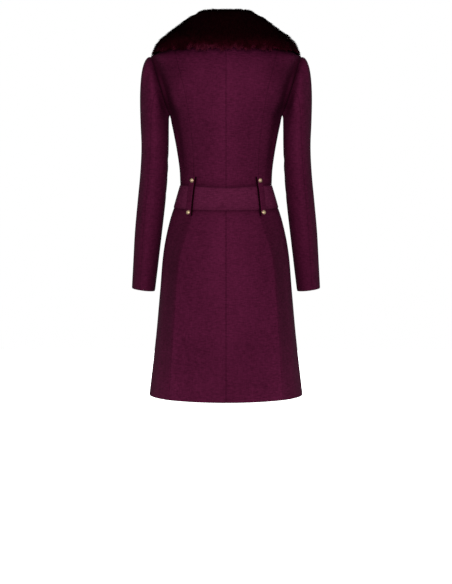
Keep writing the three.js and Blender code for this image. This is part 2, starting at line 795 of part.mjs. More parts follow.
for (const [side, mirror] of [["left", 1], ["right", -1]]) {
  add(`bodice_back_${side}`, bodiceBack(mirror), materials.cloth);
  add(`bodice_side_back_${side}`, bodiceSide(mirror, false), materials.cloth);
  add(`bodice_side_front_${side}`, bodiceSide(mirror, true), materials.cloth);
  add(`bodice_front_${side}`, bodiceFront(mirror), materials.cloth);
  add(`waistband_front_${side}`, waistbandFront(mirror), materials.band);
  const skirtBack = levelPatch(() => 1e-6, backSeamAngle, bandBottom, hemLevel, mirror, 6, 10);
  add(`skirt_back_${side}`, skirtBack, materials.cloth);
  const skirtSideBack = levelPatch(backSeamAngle, quarter, bandBottom, hemLevel, mirror, 5, 10);
  add(`skirt_side_back_${side}`, skirtSideBack, materials.cloth);
  const skirtSideFront = levelPatch(quarter, frontSeamAngle, bandBottom, hemLevel, mirror, 5, 10);
  add(`skirt_side_front_${side}`, skirtSideFront, materials.cloth);
  const skirtFront = frontPatch((z) => seamAt(z).x, bandBottom, hemLevel, mirror, 7, 10);
  add(`skirt_front_${side}`, skirtFront, materials.cloth);
  add(`sleeve_top_${side}`, sleevePiece(mirror, true), materials.cloth);
  add(`sleeve_under_${side}`, sleevePiece(mirror, false), materials.cloth);
  add(`belt_loop_${side}`, wallPatch((s, t) => loopPlace(s, t, mirror), 2, 12, loopWall), materials.cloth);
  for (const [level, z] of Object.entries(studLevels)) {
    const t = (z - loopLine[loopLine.length - 1].z) / (loopLine[0].z - loopLine[loopLine.length - 1].z);
    const { point, out } = loopPlace(0.5, t, mirror);
    const seat = point.addScaledVector(out, studSeat);
    coat.add(domeOn(`stud_${level}_${side}`, seat, out, studRadius, studHeight, materials.gold));
  }
}

const bandBack = levelPatch(() => -Math.PI / 2, quarter, bandTop, bandBottom, 1, 24, 2);
add("waistband_back", bandBack, materials.band);

const joinGap = 0.006;
add("collar_back", trimmed(collarPiece(0, collarJoin - joinGap, true, 3)), materials.fur);
const lastSection = collarSections.length - 1;
for (const [side, mirror] of [["left", 1], ["right", -1]]) {
  const lapel = trimmed(collarPiece(collarJoin + joinGap, lastSection, false, 2, mirror));
  add(`collar_lapel_${side}`, lapel, materials.fur);
}

buttonLevels.forEach((z, at) => {
  const { point, out } = onTorso(Math.PI - 1e-6, z, -1, overlapLift + seamGap);
  coat.add(domeOn(`front_button_${at + 1}`, point, out, buttonRadius, buttonHeight, materials.gold));
});

export default coat;
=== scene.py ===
# A long plum wool coat with a deep fur shawl collar, filled out as if worn and seen from behind.
# Metres, +Z up, the coat's front towards -Y and the wearer's left towards +X.
import math

import bpy
import numpy as np
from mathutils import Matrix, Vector
from mathutils.bvhtree import BVHTree


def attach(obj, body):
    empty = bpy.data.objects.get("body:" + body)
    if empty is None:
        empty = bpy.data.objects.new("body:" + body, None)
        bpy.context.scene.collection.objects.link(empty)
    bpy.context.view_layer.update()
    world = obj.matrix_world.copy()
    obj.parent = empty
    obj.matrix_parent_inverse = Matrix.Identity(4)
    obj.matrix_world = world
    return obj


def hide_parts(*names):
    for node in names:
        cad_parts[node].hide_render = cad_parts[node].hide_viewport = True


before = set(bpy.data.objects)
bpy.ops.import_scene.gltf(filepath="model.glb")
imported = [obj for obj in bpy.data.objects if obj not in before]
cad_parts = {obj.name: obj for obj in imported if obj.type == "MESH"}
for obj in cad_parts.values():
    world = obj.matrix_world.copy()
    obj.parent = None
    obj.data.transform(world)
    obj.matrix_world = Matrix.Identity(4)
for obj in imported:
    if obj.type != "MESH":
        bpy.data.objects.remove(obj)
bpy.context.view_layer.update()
print("frame loaded with", len(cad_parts), "nodes")

mm = 0.001
tiny = 1e-9
quarterTurn = math.pi / 2
sides = (("left", 1), ("right", -1))

# Main levels and places, as in the cut of the coat
coat = {
    "bandTop": -0.389,
    "bandBottom": -0.452,
    "hem": -0.950,
    "neckWidth": 0.072,
    "napeRise": 0.012,
    "shoulderX": 0.196,
    "shoulderZ": -0.049,
    "underarmX": 0.1484,
    "underarmZ": -0.205,
    "princessX": 0.134,
    "princessZ": -0.0245,
    "underarmShare": 1 / 3,
    "wall": 0.002,
}
skirtRange = (coat["hem"], coat["bandBottom"])
bandRange = (coat["bandBottom"], coat["bandTop"])

# Front edge and its overlap
lap = {
    "half": 0.030,
    "lift": 0.003,
    "near": 0.026,
    "far": 0.055,
    "top": -0.317,
    "bend": 0.3,
    "curve": 0.8,
}


def mixed(start, end, share):
    return start + (end - start) * share


def smoothStep(value, low, high):
    part = np.clip((value - low) / (high - low), 0, 1)
    return part * part * (3 - 2 * part)


def between(value, riseFrom, riseTo, fallFrom, fallTo):
    # 1 in the middle of a range and 0 outside it
    return smoothStep(value, riseFrom, riseTo) * smoothStep(-value, -fallTo, -fallFrom)


def bell(away, reach, power=2):
    # 1 at no distance, fading over the reach
    return np.exp(-((away / reach) ** power))


def unit(vectors):
    return vectors / np.maximum(np.linalg.norm(vectors, axis=-1, keepdims=True), 1e-12)


def stepsAlong(points, axis=0):
    return np.linalg.norm(np.diff(points, axis=axis), axis=-1)


def together(first, second):
    return np.broadcast_arrays(np.asarray(first, float), np.asarray(second, float))


def curve(part, step, start, startSlope, end, endSlope):
    # a smooth step from one value to the next with given slopes
    return (
        (2 * part**3 - 3 * part**2 + 1) * start
        + (part**3 - 2 * part**2 + part) * step * startSlope
        + (3 * part**2 - 2 * part**3) * end
        + (part**3 - part**2) * step * endSlope
    )


def tableOf(names, rows, plain=""):
    # rows are in millimetres, apart from the plain columns
    columns = names.split()
    values = np.array(rows, float)
    for at, column in enumerate(columns):
        if column not in plain.split():
            values[:, at] *= mm
    return {"columns": columns, "values": values}


def readTable(table, value):
    # a smooth curve through the rows, read at values of the first column
    rows = table["values"]
    if rows[0, 0] > rows[-1, 0]:
        rows = rows[::-1]
    key = rows[:, 0]
    span = np.diff(key)
    rise = np.diff(rows, axis=0) / span[:, None]
    slopes = np.vstack([rise[:1], (rise[1:] + rise[:-1]) / 2, rise[-1:]])
    value = np.clip(np.asarray(value, float), key[0], key[-1])
    at = np.clip(np.searchsorted(key, value, side="right") - 1, 0, len(span) - 1)
    part = ((value - key[at]) / span[at])[..., None]
    result = curve(part, span[at][..., None], rows[at], slopes[at], rows[at + 1], slopes[at + 1])
    return {column: result[..., k] for k, column in enumerate(table["columns"])}


# Rings of the body: half width, depth behind and in front of the side seam, and squareness
bodiceRings = tableOf("level width back front square", [
    (14, 70, 49, 44, 2.1),
    (0, 72, 56, 56, 2.1),
    (-20, 122.6, 74, 71, 2.15),
    (-49, 196, 89, 82, 2.25),
    (-80, 201, 100, 94, 2.3),
    (-110, 199, 106, 104, 2.3),
    (-140, 189, 109, 112, 2.3),
    (-172, 171, 109, 119, 2.3),
    (-205, 148.8, 107, 124, 2.3),
    (-228, 143.6, 104.5, 125, 2.3),
    (-270, 135, 99, 120, 2.25),
    (-313, 127.6, 94, 111, 2.2),
    (-350, 122.8, 90, 104, 2.2),
    (-389, 121, 88, 100, 2.2),
], plain="square")
skirtRings = tableOf("level width back front square", [
    (-389, 121, 88, 100, 2.2),
    (-420, 130, 95, 104, 2.2),
    (-452, 138.6, 103, 109, 2.25),
    (-484, 149, 112, 114, 2.3),
    (-527, 159.4, 121, 119, 2.4),
    (-570, 166.6, 129, 123, 2.5),
    (-655, 174.8, 138, 130, 2.5),
    (-783, 186, 146, 139, 2.3),
    (-869, 195.8, 150, 146, 2.12),
    (-950, 205.5, 153.5, 151, 2),
], plain="square")

# Panel seams beside the centre, and how far the cloth stands out there as a soft corner
bodiceSeam = tableOf("level across corner", [
    (14, 134, 0),
    (-30, 134, 0),
    (-60, 129, 0),
    (-92, 121, 0.3),
    (-155, 106, 0.3),
    (-207, 97.2, 0.5),
    (-257, 90.7, 0.5),
    (-307, 86.2, 0.3),
    (-389, 87, 0),
])
skirtSeam = tableOf("level across corner", [
    (-389, 87, 0),
    (-452, 87, 0),
    (-480, 93, 1),
    (-523, 106, 3),
    (-567, 118, 4.5),
    (-610, 124, 5.5),
    (-655, 127.5, 6),
    (-720, 132, 6),
    (-805, 138.5, 5),
    (-936, 149, 1.8),
    (-950, 150, 1.8),
])
cornerReach = 0.16

# Sleeve rings from the shoulder to the cuff, and the share of the armhole's own shape that each keeps
sleeveRings = tableOf("outerX outerZ innerX innerZ middleY depth hole", [
    (204.5, -49.6, 149, -206, 0, 58, 1),
    (212, -58, 149.6, -207.5, -1, 59.5, 0.95),
    (219, -78, 150.2, -209, -1, 61, 0.8),
    (223.6, -102, 150.6, -211, -1, 62, 0.65),
    (226.3, -134, 150.9, -214, -2, 62, 0.45),
    (227.2, -172, 151, -220, -2, 61, 0.3),
    (226.2, -225, 151.3, -246, -3, 59.5, 0.1),
    (224.2, -290, 152, -295, -5, 57.5, 0),
    (228, -360, 154.6, -360, -9, 56, 0),
    (235.8, -435, 161.4, -436, -17, 54.5, 0),
    (243.8, -515, 171.2, -517, -27, 51.5, 0),
    (249, -595, 181.6, -599, -37, 48.5, 0),
    (253.6, -667.5, 191.6, -675.5, -46, 45.5, 0),
], plain="hole")
armholeReach = 0.057
sleeveSeams = tableOf("along back front", [
    (0, 105, -120),
    (0.4, 86, -118),
    (0.7, 68, -115),
    (1, 74, -112),
], plain="along back front")


def readBoth(bodice, skirt, level):
    # the bodice's table above the top of the waistband and the skirt's below it
    upper = readTable(bodice, level)
    lower = readTable(skirt, level)
    return {name: np.where(level >= coat["bandTop"], upper[name], lower[name]) for name in upper}


def ringAt(level):
    level = np.asarray(level, float)
    ring = readBoth(bodiceRings, skirtRings, level)
    slope = mixed(coat["neckWidth"], coat["shoulderX"], level / coat["shoulderZ"])
    onShoulder = (level > coat["shoulderZ"]) & (level < 0)
    ring["width"] = np.where(onShoulder, slope, ring["width"])
    return ring


def seamAt(level):
    return readBoth(bodiceSeam, skirtSeam, np.asarray(level, float))


def angleOf(across, level, front):
    # turn round the body from the centre back, of a point this far from the centre
    ring = ringAt(level)
    share = np.clip(np.abs(across) / ring["width"], 0, 1)
    along = np.maximum(1 - share ** ring["square"], 0) ** (1 / ring["square"])
    side = np.where(np.asarray(across) < 0, -1.0, 1.0)
    angle = side * np.arctan2(share, along)
    return np.where(front, math.pi * side - angle, angle)


def ringPoint(angle, level):
    angle, level = together(angle, level)
    ring = ringAt(level)
    sine = np.sin(angle)
    cosine = np.cos(angle)
    total = np.abs(sine) ** ring["square"] + np.abs(cosine) ** ring["square"]
    reach = total ** (-1 / ring["square"])
    depth = np.where(cosine > 0, ring["back"], ring["front"])
    return np.stack([ring["width"] * sine * reach, depth * cosine * reach, level], axis=-1)


def bodyNormal(angle, level):
    turn = 0.02
    rise = 0.001
    around = ringPoint(angle + turn, level) - ringPoint(angle - turn, level)
    down = ringPoint(angle, level - rise) - ringPoint(angle, level + rise)
    return unit(np.cross(around, down))


# The waistband's upper edge hangs lower towards the centre back, and its lower edge rises towards the sides
bandSag = {"depth": 0.0042, "halfWidth": 0.110, "reach": 0.028, "rise": 0.0030, "sideAt": 0.139}


def sag(point):
    fromCentre = np.abs(point[..., 0])
    across = np.clip(fromCentre / bandSag["halfWidth"], 0, 1)
    aside = np.clip(fromCentre / bandSag["sideAt"], 0, 1)
    nearTop = bell(point[..., 2] - coat["bandTop"], bandSag["reach"])
    nearFoot = bell(point[..., 2] - coat["bandBottom"], bandSag["reach"])
    drop = bandSag["depth"] * (1 - across**2) ** 2 * nearTop * (point[..., 1] > 0)
    return drop - bandSag["rise"] * aside**2 * nearFoot


def mirrored(point, normal, mirror):
    flip = np.array([mirror, 1.0, 1.0])
    return point * flip, normal * flip


def onBody(angle, level, mirror, lift=0.0):
    # the outer face of the body's cloth and the way it faces
    angle, level = together(angle, level)
    seam = seamAt(level)
    turn = np.abs(angle)
    away = np.abs(turn - angleOf(seam["across"], level, turn > quarterTurn)) / cornerReach
    normal = bodyNormal(angle, level)
    out = np.broadcast_to(lift, level.shape) + seam["corner"] * np.exp(-away)
    point = ringPoint(angle, level) + normal * out[..., None]
    point[..., 2] -= sag(point)
    return mirrored(point, normal, mirror)


def armholeAngle(level, front):
    share = (level - coat["underarmZ"]) / (coat["shoulderZ"] - coat["underarmZ"])
    across = mixed(coat["underarmX"], coat["shoulderX"], share)
    return angleOf(np.minimum(across, ringAt(level)["width"]), level, front)


def pastUnderarm(t):
    return np.clip((t - coat["underarmShare"]) / (1 - coat["underarmShare"]), 0, 1)


def seamLevel(t):
    # level of a row on the panel seam, from the waistband to the shoulder
    lower = mixed(coat["bandTop"], coat["underarmZ"], t / coat["underarmShare"])
    upper = mixed(coat["underarmZ"], coat["princessZ"], np.sin(pastUnderarm(t) * quarterTurn))
    return np.where(t < coat["underarmShare"], lower, upper)


def seamX(level):
    return np.minimum(seamAt(level)["across"], ringAt(level)["width"])


def armholeRing(turn):
    middle = (coat["shoulderZ"] + coat["underarmZ"]) / 2
    reach = (coat["shoulderZ"] - coat["underarmZ"]) / 2
    level = middle + reach * np.cos(turn)
    return ringPoint(armholeAngle(level, np.sin(turn) < 0), level)


def sleeveRing(index, turn):
    rows = sleeveRings["values"][np.clip(index, 1, len(sleeveRings["values"])) - 1]
    ring = {name: rows[..., k] for k, name in enumerate(sleeveRings["columns"])}
    hole = armholeRing(turn)
    cosine = np.cos(turn)
    sine = mixed(np.sin(turn), hole[..., 1] / armholeReach, ring["hole"])
    across = (ring["outerX"] + ring["innerX"]) / 2 + (ring["outerX"] - ring["innerX"]) / 2 * cosine
    level = (ring["outerZ"] + ring["innerZ"]) / 2 + (ring["outerZ"] - ring["innerZ"]) / 2 * cosine
    lower = np.stack([across, ring["middleY"] + ring["depth"] * sine, level], axis=-1)
    return np.where((index <= 0)[..., None], hole, lower)


def sleevePoint(turn, along):
    turn, along = together(turn, along)
    count = len(sleeveRings["values"])
    place = np.clip(along, 0, 1) * count
    at = np.minimum(np.floor(place).astype(int), count - 1)
    start = sleeveRing(at, turn)
    end = sleeveRing(at + 1, turn)
    before = np.where((at > 0)[..., None], sleeveRing(at - 1, turn), 2 * start - end)
    after = np.where((at + 2 <= count)[..., None], sleeveRing(at + 2, turn), 2 * end - start)
    return curve((place - at)[..., None], 0.5, start, end - before, end, after - start)


def onSleeve(turn, along, mirror):
    turn, along = together(turn, along)
    step = 0.03
    little = 0.01
    around = sleevePoint(turn + step, along) - sleevePoint(turn - step, along)
    below = sleevePoint(turn, np.minimum(along + little, 1))
    down = below - sleevePoint(turn, np.maximum(along - little, 0))
    return mirrored(sleevePoint(turn, along), unit(np.cross(down, around)), mirror)


# How the cloth turns at each kind of edge, in millimetres: how far the outer face dips, over what reach,
# whether the inner face follows it (1) or closes towards it (below 0), how deep the painted shade along the
# edge is, and how far that painted shade fades
edgeShapes = {
    kind: {"dip": dip * mm, "reach": reach * mm, "inner": inner, "dusk": dusk, "fade": fade * mm}
    for kind, dip, reach, inner, dusk, fade in (
        ("seam", 0.8, 1.2, 1.0, 0.26, 1.2),
        ("softSeam", 0.8, 1.6, 1.0, 0.22, 1.6),
        ("hole", -0.15, 1.5, 1.0, 0.72, 9.0),
        ("head", -0.15, 1.5, 1.0, 0.65, 8.0),
        ("folded", 0.6, 1.6, 1.0, 0.32, 40.0),
        ("tuck", 0.9, 4.5, 1.0, 0.46, 6.0),
        ("bandFoot", 1.0, 1.3, 0.3, 0.32, 8.0),
        ("bandEdge", 1.2, 1.3, 0.3, 0.35, 2.6),
        ("free", 0.7, 0.9, -0.9, 0.0, 1.0),
        ("hem", 0.7, 1.1, -0.9, 0.0, 1.0),
    )
}
edgeRows = np.array([0, 0.35, 0.8, 1.5, 2.6, 4.2, 6.6]) * mm
hemTurn = {"depth": 0.036, "extra": 1.1 * mm, "blend": 2.0 * mm}

# Soft creases of the worn cloth: where they lie, their width and their height out from the cloth (a trough is
# below zero), and their path, which is (across, level) on the body, all in millimetres, and (turn in degrees,
# share of its length) on a sleeve
creaseRows = [
    ("back", 21, -5.4, [(184, -64), (173, -98), (160, -136), (146, -190), (137, -240)]),
    ("front", 20, -4.8, [(184, -66), (172, -100), (159, -140), (146, -190), (138, -230)]),
    ("back", 17, -3.4, [(134, -190), (125, -250), (118, -310), (113, -370)]),
    ("back", 20, -1.8, [(126, -490), (143, -570), (151, -670), (157, -780), (163, -880)]),
    ("back", 6, -0.7, [(112, -362), (97, -348), (80, -343)]),
    ("back", 7, 0.6, [(116, -335), (102, -318), (88, -310)]),
    ("front", 6, -0.9, [(110, -365), (94, -350), (74, -345)]),
    ("front", 8, 0.8, [(117, -338), (98, -312), (80, -292)]),
    ("back", 16, -0.6, [(62, -470), (66, -540), (70, -620)]),
    ("back", 24, 0.7, [(38, -700), (42, -820), (47, -950)]),
    ("back", 20, -0.8, [(96, -740), (104, -850), (112, -950)]),
    ("back", 16, -1.2, [(172, -620), (181, -760), (192, -950)]),
    ("front", 22, -1.4, [(70, -480), (80, -600), (92, -760), (104, -950)]),
    ("front", 18, 1.2, [(165, -600), (178, -760), (188, -950)]),
    ("sleeve", 15, -3.9, [(-75, 0.050), (-36, 0.038), (0, 0.032), (36, 0.038), (75, 0.050)]),
    ("sleeve", 13, -2.6, [(70, 0.05), (98, 0.07), (124, 0.12), (148, 0.22)]),
    ("sleeve", 8, 1.6, [(50, 0.13), (66, 0.20), (78, 0.30), (86, 0.40)]),
    ("sleeve", 14, 1.6, [(64, 0.34), (76, 0.44), (88, 0.56)]),
    ("sleeve", 12, -1.4, [(118, 0.24), (122, 0.36), (128, 0.5)]),
    ("sleeve", 6, -0.7, [(28, 0.49), (26, 0.58)]),
    ("sleeve", 7, -1.8, [(150, 0.62), (185, 0.655), (222, 0.64)]),
    ("sleeve", 6, -1.4, [(160, 0.69), (195, 0.70), (240, 0.685)]),
    ("sleeve", 6, -1.2, [(172, 0.745), (210, 0.742), (250, 0.73)]),
    ("sleeve", 9, -0.8, [(60, 0.66), (92, 0.685), (125, 0.68)]),
    ("sleeve", 9, -0.9, [(46, 0.72), (40, 0.82), (38, 0.92)]),
    ("sleeve", 15, 1.8, [(-40, 0.30), (-62, 0.40), (-80, 0.52)]),
    ("sleeve", 8, -1.0, [(-30, 0.64), (-60, 0.67), (-95, 0.66)]),
]
creaseEnds = {"from": 0.08, "to": 0.92, "power": 0.8}


def creaseOf(where, width, height, path):
    first, second = np.array(path, float).T
    if where == "sleeve":
        line, _ = onSleeve(np.radians(first), second, 1)
    else:
        line, _ = onBody(angleOf(first * mm, second * mm, where == "front"), second * mm, 1)
    return {"line": line, "width": width * mm, "height": height * mm}


creases = [creaseOf(*row) for row in creaseRows]


def creaseHeight(points):
    # how far the creases move each point, the same on both sides of the coat
    spots = points.reshape(-1, 3).copy()
    spots[:, 0] = np.abs(spots[:, 0])
    height = np.zeros(len(spots))
    for crease in creases:
        line = crease["line"]
        pieces = stepsAlong(line)
        whole = pieces.sum()
        nearest = np.full(len(spots), np.inf)
        along = np.zeros(len(spots))
        begun = 0.0
        for start, end, length in zip(line[:-1], line[1:], pieces):
            part = np.clip((spots - start) @ (end - start) / length**2, 0, 1)
            away = np.linalg.norm(spots - (start + part[:, None] * (end - start)), axis=1)
            closer = away < nearest
            along = np.where(closer, (begun + part * length) / whole, along)
            nearest = np.minimum(nearest, away)
            begun += length
        share = np.clip(mixed(creaseEnds["from"], creaseEnds["to"], along), 0, 1)
        fade = np.sin(np.pi * share) ** creaseEnds["power"]
        height += crease["height"] * bell(nearest, crease["width"]) * fade
    return height.reshape(points.shape[:-1])


# Painted light on the body's cloth: low on the skirt painted light where it turns aside and painted shade
# where it faces straight back, a painted highlight down the middle, and painted shadow below the fur's
# corners
nap = {
    "lowFrom": -0.59,
    "lowOver": 0.33,
    # low on the skirt: painted light where the cloth turns aside, painted shade where it faces straight back
    "aside": 0.45,
    "dull": 0.10,
    # a painted highlight down the middle
    "middle": 0.15,
    "paintedHighlightReach": 0.036,
    # painted shadow below the fur's corners
    "corner": 0.36,
    "cornerAt": (0.140, -0.085),
    "cornerReach": (0.034, 0.038),
    "fullTurn": 0.2,
    # painted light on the waistband where it turns to the side
    "bandAside": 0.24,
}


def turnedAside(normal):
    # 0 where the cloth faces straight back or front, 1 where it has turned well to the side
    return np.sqrt(np.clip((1 - np.abs(normal[..., 1])) / nap["fullTurn"], 0, 1))


def lowOn(point):
    # 0 above the low part of the skirt, 1 at the hem
    return np.clip((nap["lowFrom"] - point[..., 2]) / nap["lowOver"], 0, 1)


# painted light and shade on the body's cloth, as set out in the table above
def paintedBodyLight(point, normal):
    across = np.abs(point[..., 0])
    aside = turnedAside(normal)
    low = lowOn(point)
    middle = nap["middle"] * bell(across, nap["paintedHighlightReach"]) * (1 - low)
    fromPaintedShadow = sum(
        ((value - at) / reach) ** 2
        for value, at, reach in zip((across, point[..., 2]), nap["cornerAt"], nap["cornerReach"])
    )
    tone = 1 + low * (nap["aside"] * aside - nap["dull"] * (1 - aside)) + middle
    return tone * (1 - nap["corner"] * np.exp(-fromPaintedShadow))


# painted light: the waistband's colour is lighter where it turns to the side
def paintedBandSideLight(point, normal):
    return 1 + nap["bandAside"] * turnedAside(normal)


# How a patch of cloth is filled in, how it behaves at its edges, and how its painted shade fades and deepens
# in troughs
weaving = {
    "samples": 97,
    "step": 0.0052,
    "dipPower": 1.6,
    "paintedShadePower": 1.3,
    "offHole": 12 * mm,
    "foldedLow": 0.6,
    "leastWall": 0.3 * mm,
    "edgeParts": 3,
    "fewestParts": 2,
    "troughDepth": 6.0 * mm,
    "troughPaintedShade": 0.72,
}


def spread(whole, step):
    # places along a row or column, closer together near both ends
    end = whole - edgeRows[::-1]
    count = max(int(round((end[0] - edgeRows[-1]) / step)), weaving["fewestParts"])
    return np.concatenate([edgeRows[:-1], np.linspace(edgeRows[-1], end[0], count + 1), end[1:]])


def gridFaces(index):
    corners = [index[:-1, :-1], index[:-1, 1:], index[1:, 1:], index[1:, :-1]]
    return np.stack(corners, axis=-1).reshape(-1, 4)


def linked(name, data):
    made = bpy.data.objects.new(name, data)
    bpy.context.scene.collection.objects.link(made)
    return made


def meshObject(name, points, faces, sharp=50):
    mesh = bpy.data.meshes.new(name)
    mesh.from_pydata(points.tolist(), [], faces if isinstance(faces, list) else faces.tolist())
    mesh.validate()
    mesh.shade_smooth()
    mesh.set_sharp_from_angle(angle=math.radians(sharp))
    return linked(name, mesh)


def closedWall(name, outer, inner):
    rows, columns = outer.shape[:2]
    count = rows * columns
    index = np.arange(count).reshape(rows, columns)
    border = np.concatenate([index[0, :-1], index[:-1, -1], index[-1, :0:-1], index[:0:-1, 0]])
    follow = np.roll(border, -1)
    faces = np.concatenate([
        gridFaces(index),
        gridFaces(index + count)[:, [0, 3, 2, 1]],
        np.stack([border, border + count, follow + count, follow], axis=-1),
    ])
    points = np.concatenate([outer.reshape(-1, 3), inner.reshape(-1, 3)])
    a, b, c, d = (points[faces[:, k]] for k in range(4))
    volume = (a * np.cross(b, c)).sum() + (a * np.cross(c, d)).sum()
    return meshObject(name, points, faces[:, ::-1] if volume < 0 else faces)


def columnsOf(place, rowAt, step):
    # the places of each row's points, even between firm ones at both edges, and how far they are from both
    fine = np.linspace(0, 1, weaving["samples"])
    points, _ = place(fine[None, :], rowAt[:, None])
    reached = np.cumsum(stepsAlong(points, 1), axis=1)
    reached = np.concatenate([np.zeros((len(rowAt), 1)), reached], axis=1)
    widest = reached[:, -1].max()
    count = len(spread(widest, step)) - 2 * len(edgeRows) + 2
    columns = []
    toStart = []
    for row in reached:
        near = np.minimum(edgeRows, row[-1] / weaving["edgeParts"])
        middle = np.linspace(near[-1], row[-1] - near[-1], count)
        target = np.concatenate([near[:-1], middle, row[-1] - near[-2::-1]])
        columns.append(np.interp(target, row, fine))
        toStart.append(target)
    toStart = np.array(toStart)
    return np.array(columns), toStart, reached[:, -1:] - toStart, widest


def clothPiece(name, place, edges, wall=coat["wall"], lift=0.0, step=weaving["step"], creased=True,
               recess=None, tone=None):
    # a thin closed wall over a patch: place(s, t) gives outer points and normals, edges the kind of each edge
    fine = np.linspace(0, 1, weaving["samples"])
    middle, _ = place(np.full((weaving["samples"], 1), 0.5), fine[:, None])
    length = stepsAlong(middle[:, 0]).sum()
    rowAt = spread(length, step) / length
    columns, toStart, toEnd, widest = columnsOf(place, rowAt, step)
    outer, normal = place(columns, rowAt[:, None])
    shape = outer.shape[:2]
    away = {
        "s0": toStart,
        "s1": toEnd,
        "t0": np.broadcast_to(((rowAt - rowAt[0]) * length)[:, None], shape),
        "t1": np.broadcast_to(((rowAt[-1] - rowAt) * length)[:, None], shape),
    }
    out = np.full(shape, float(lift))
    depth = np.full(shape, float(wall))
    # painted light: 1 keeps the wool's lit colour, lower values mix it towards the painted shadow colour
    paintedLightShare = tone(outer, normal) if tone else np.ones(shape)
    offHole = np.ones(shape)
    for edge, kind in edges.items():
        if kind in ("hole", "head"):
            offHole = smoothStep(away[edge], 0, weaving["offHole"])
    if creased:
        height = creaseHeight(outer)
        # painted shade: the colour darkens in the creases' troughs
        paintedLightShare *= 1 - weaving["troughPaintedShade"] * smoothStep(-height, 0, weaving["troughDepth"])
        out += height * offHole
    for edge, kind in edges.items():
        turn = edgeShapes[kind]
        dip = turn["dip"] * bell(away[edge], turn["reach"], weaving["dipPower"])
        if kind not in ("hole", "head"):
            dip = dip * offHole
        # painted shade: near each edge the colour is darkened towards the painted shadow colour
        dusk = turn["dusk"]
        if kind == "folded":
            dusk = dusk * (1 - weaving["foldedLow"] * lowOn(outer))
        paintedLightShare *= 1 - dusk * bell(away[edge], turn["fade"], weaving["paintedShadePower"])
        out -= dip
        depth -= dip * (1 - turn["inner"])
        if kind == "hem":
            turned = 1 - smoothStep(away[edge], hemTurn["depth"] - hemTurn["blend"], hemTurn["depth"])
            depth += hemTurn["extra"] * turned
    outerFace = outer + normal * out[..., None]
    innerFace = outerFace - normal * np.maximum(depth, weaving["leastWall"])[..., None]
    # the inner face carries no painted shade, apart from the painted shadow on a leaning wall
    inside = np.ones(shape)
    if recess:
        # the wall along the first edge leans out under the piece as a thin sheet with painted shadow on it
        across = unit(outerFace[:, 0] - outerFace[:, 1])
        innerFace[:, 0] = outer[:, 0] + across * recess["reach"] + normal[:, 0] * recess["lift"]
        inside[:, 0] = recess["open"]
        paintedLightShare[:, 0] = recess["open"]
    made = closedWall(name, outerFace, innerFace)
    # the painted light and shade are stored on the points for the wool's colour
    shade = made.data.attributes.new("open", "FLOAT", "POINT")
    both = np.concatenate([paintedLightShare.reshape(-1), inside.reshape(-1)])
    shade.data.foreach_set("value", both.astype(np.float32))
    corners = np.cross(np.diff(outerFace, axis=0)[:, :-1], np.diff(outerFace, axis=1)[:-1])
    area = np.linalg.norm(corners, axis=2).sum()
    print(f"{name}: widest {widest:.3f}, length {length:.3f}, area {area:.4f}")
    return made


class Wire:
    # one socket of a node tree, so that sums on values are written as expressions
    def __init__(self, tree, socket=None):
        self.tree = tree
        self.socket = socket

    def node(self, kind, inputs=None, output=0, **settings):
        made = self.tree.nodes.new(kind)
        for name, value in settings.items():
            setattr(made, name, value)
        for name, value in (inputs or {}).items():
            if isinstance(value, Wire):
                self.tree.links.new(value.socket, made.inputs[name])
            else:
                made.inputs[name].default_value = value
        return None if output is None else Wire(self.tree, made.outputs[output])

    def output(self, name):
        return Wire(self.tree, self.socket.node.outputs[name])

    def surface(self, shader, kind="ShaderNodeOutputMaterial"):
        self.node(kind, {"Surface": shader}, output=None)

    def sum(self, operation, first, second):
        return self.node("ShaderNodeMath", {0: first, 1: second}, operation=operation)

    def __add__(self, other):
        return self.sum("ADD", self, other)

    def __radd__(self, other):
        return self.sum("ADD", other, self)

    def __sub__(self, other):
        return self.sum("SUBTRACT", self, other)

    def __rsub__(self, other):
        return self.sum("SUBTRACT", other, self)

    def __mul__(self, other):
        return self.sum("MULTIPLY", self, other)

    def __rmul__(self, other):
        return self.sum("MULTIPLY", other, self)

    def __pow__(self, other):
        return self.sum("POWER", self, other)


def rgba(colour):
    return (*colour, 1.0)


def blended(wire, share, first, second, within=True):
    inputs = {0: share, 6: first, 7: second}
    return wire.node("ShaderNodeMix", inputs, output=2, data_type="RGBA", clamp_factor=within)


def noiseOn(wire, place, scale, detail=2.0, rough=0.5):
    spaced = wire.node("ShaderNodeMapping", {"Vector": place, "Scale": scale})
    inputs = {"Vector": spaced, "Scale": 1.0, "Detail": detail, "Roughness": rough}
    return wire.node("ShaderNodeTexNoise", inputs)


def objectPlace(wire):
    return wire.node("ShaderNodeTexCoord", output="Object")


def principled(name, look, *settings):
    # a material of one shader, whose inputs come from a look
    made = bpy.data.materials.new(name)
    made.use_nodes = True
    made.node_tree.nodes.clear()
    wire = Wire(made.node_tree)
    wire.surface(wire.node("ShaderNodeBsdfPrincipled", look(wire, *settings)))
    return made


# Brushed wool: a fine crosswise weave, a warp, a short nap and a slow mottle, in cycles a metre
woolLayers = {
    "weave": {"scale": (95.0, 95.0, 400.0), "detail": 3.0, "rough": 0.6},
    "warp": {"scale": (420.0, 420.0, 70.0), "detail": 2.0, "rough": 0.6},
    "nap": {"scale": (700.0, 700.0, 900.0), "detail": 2.0, "rough": 0.6},
    "mottle": {"scale": (17.0, 17.0, 12.0), "detail": 3.0, "rough": 0.55},
}
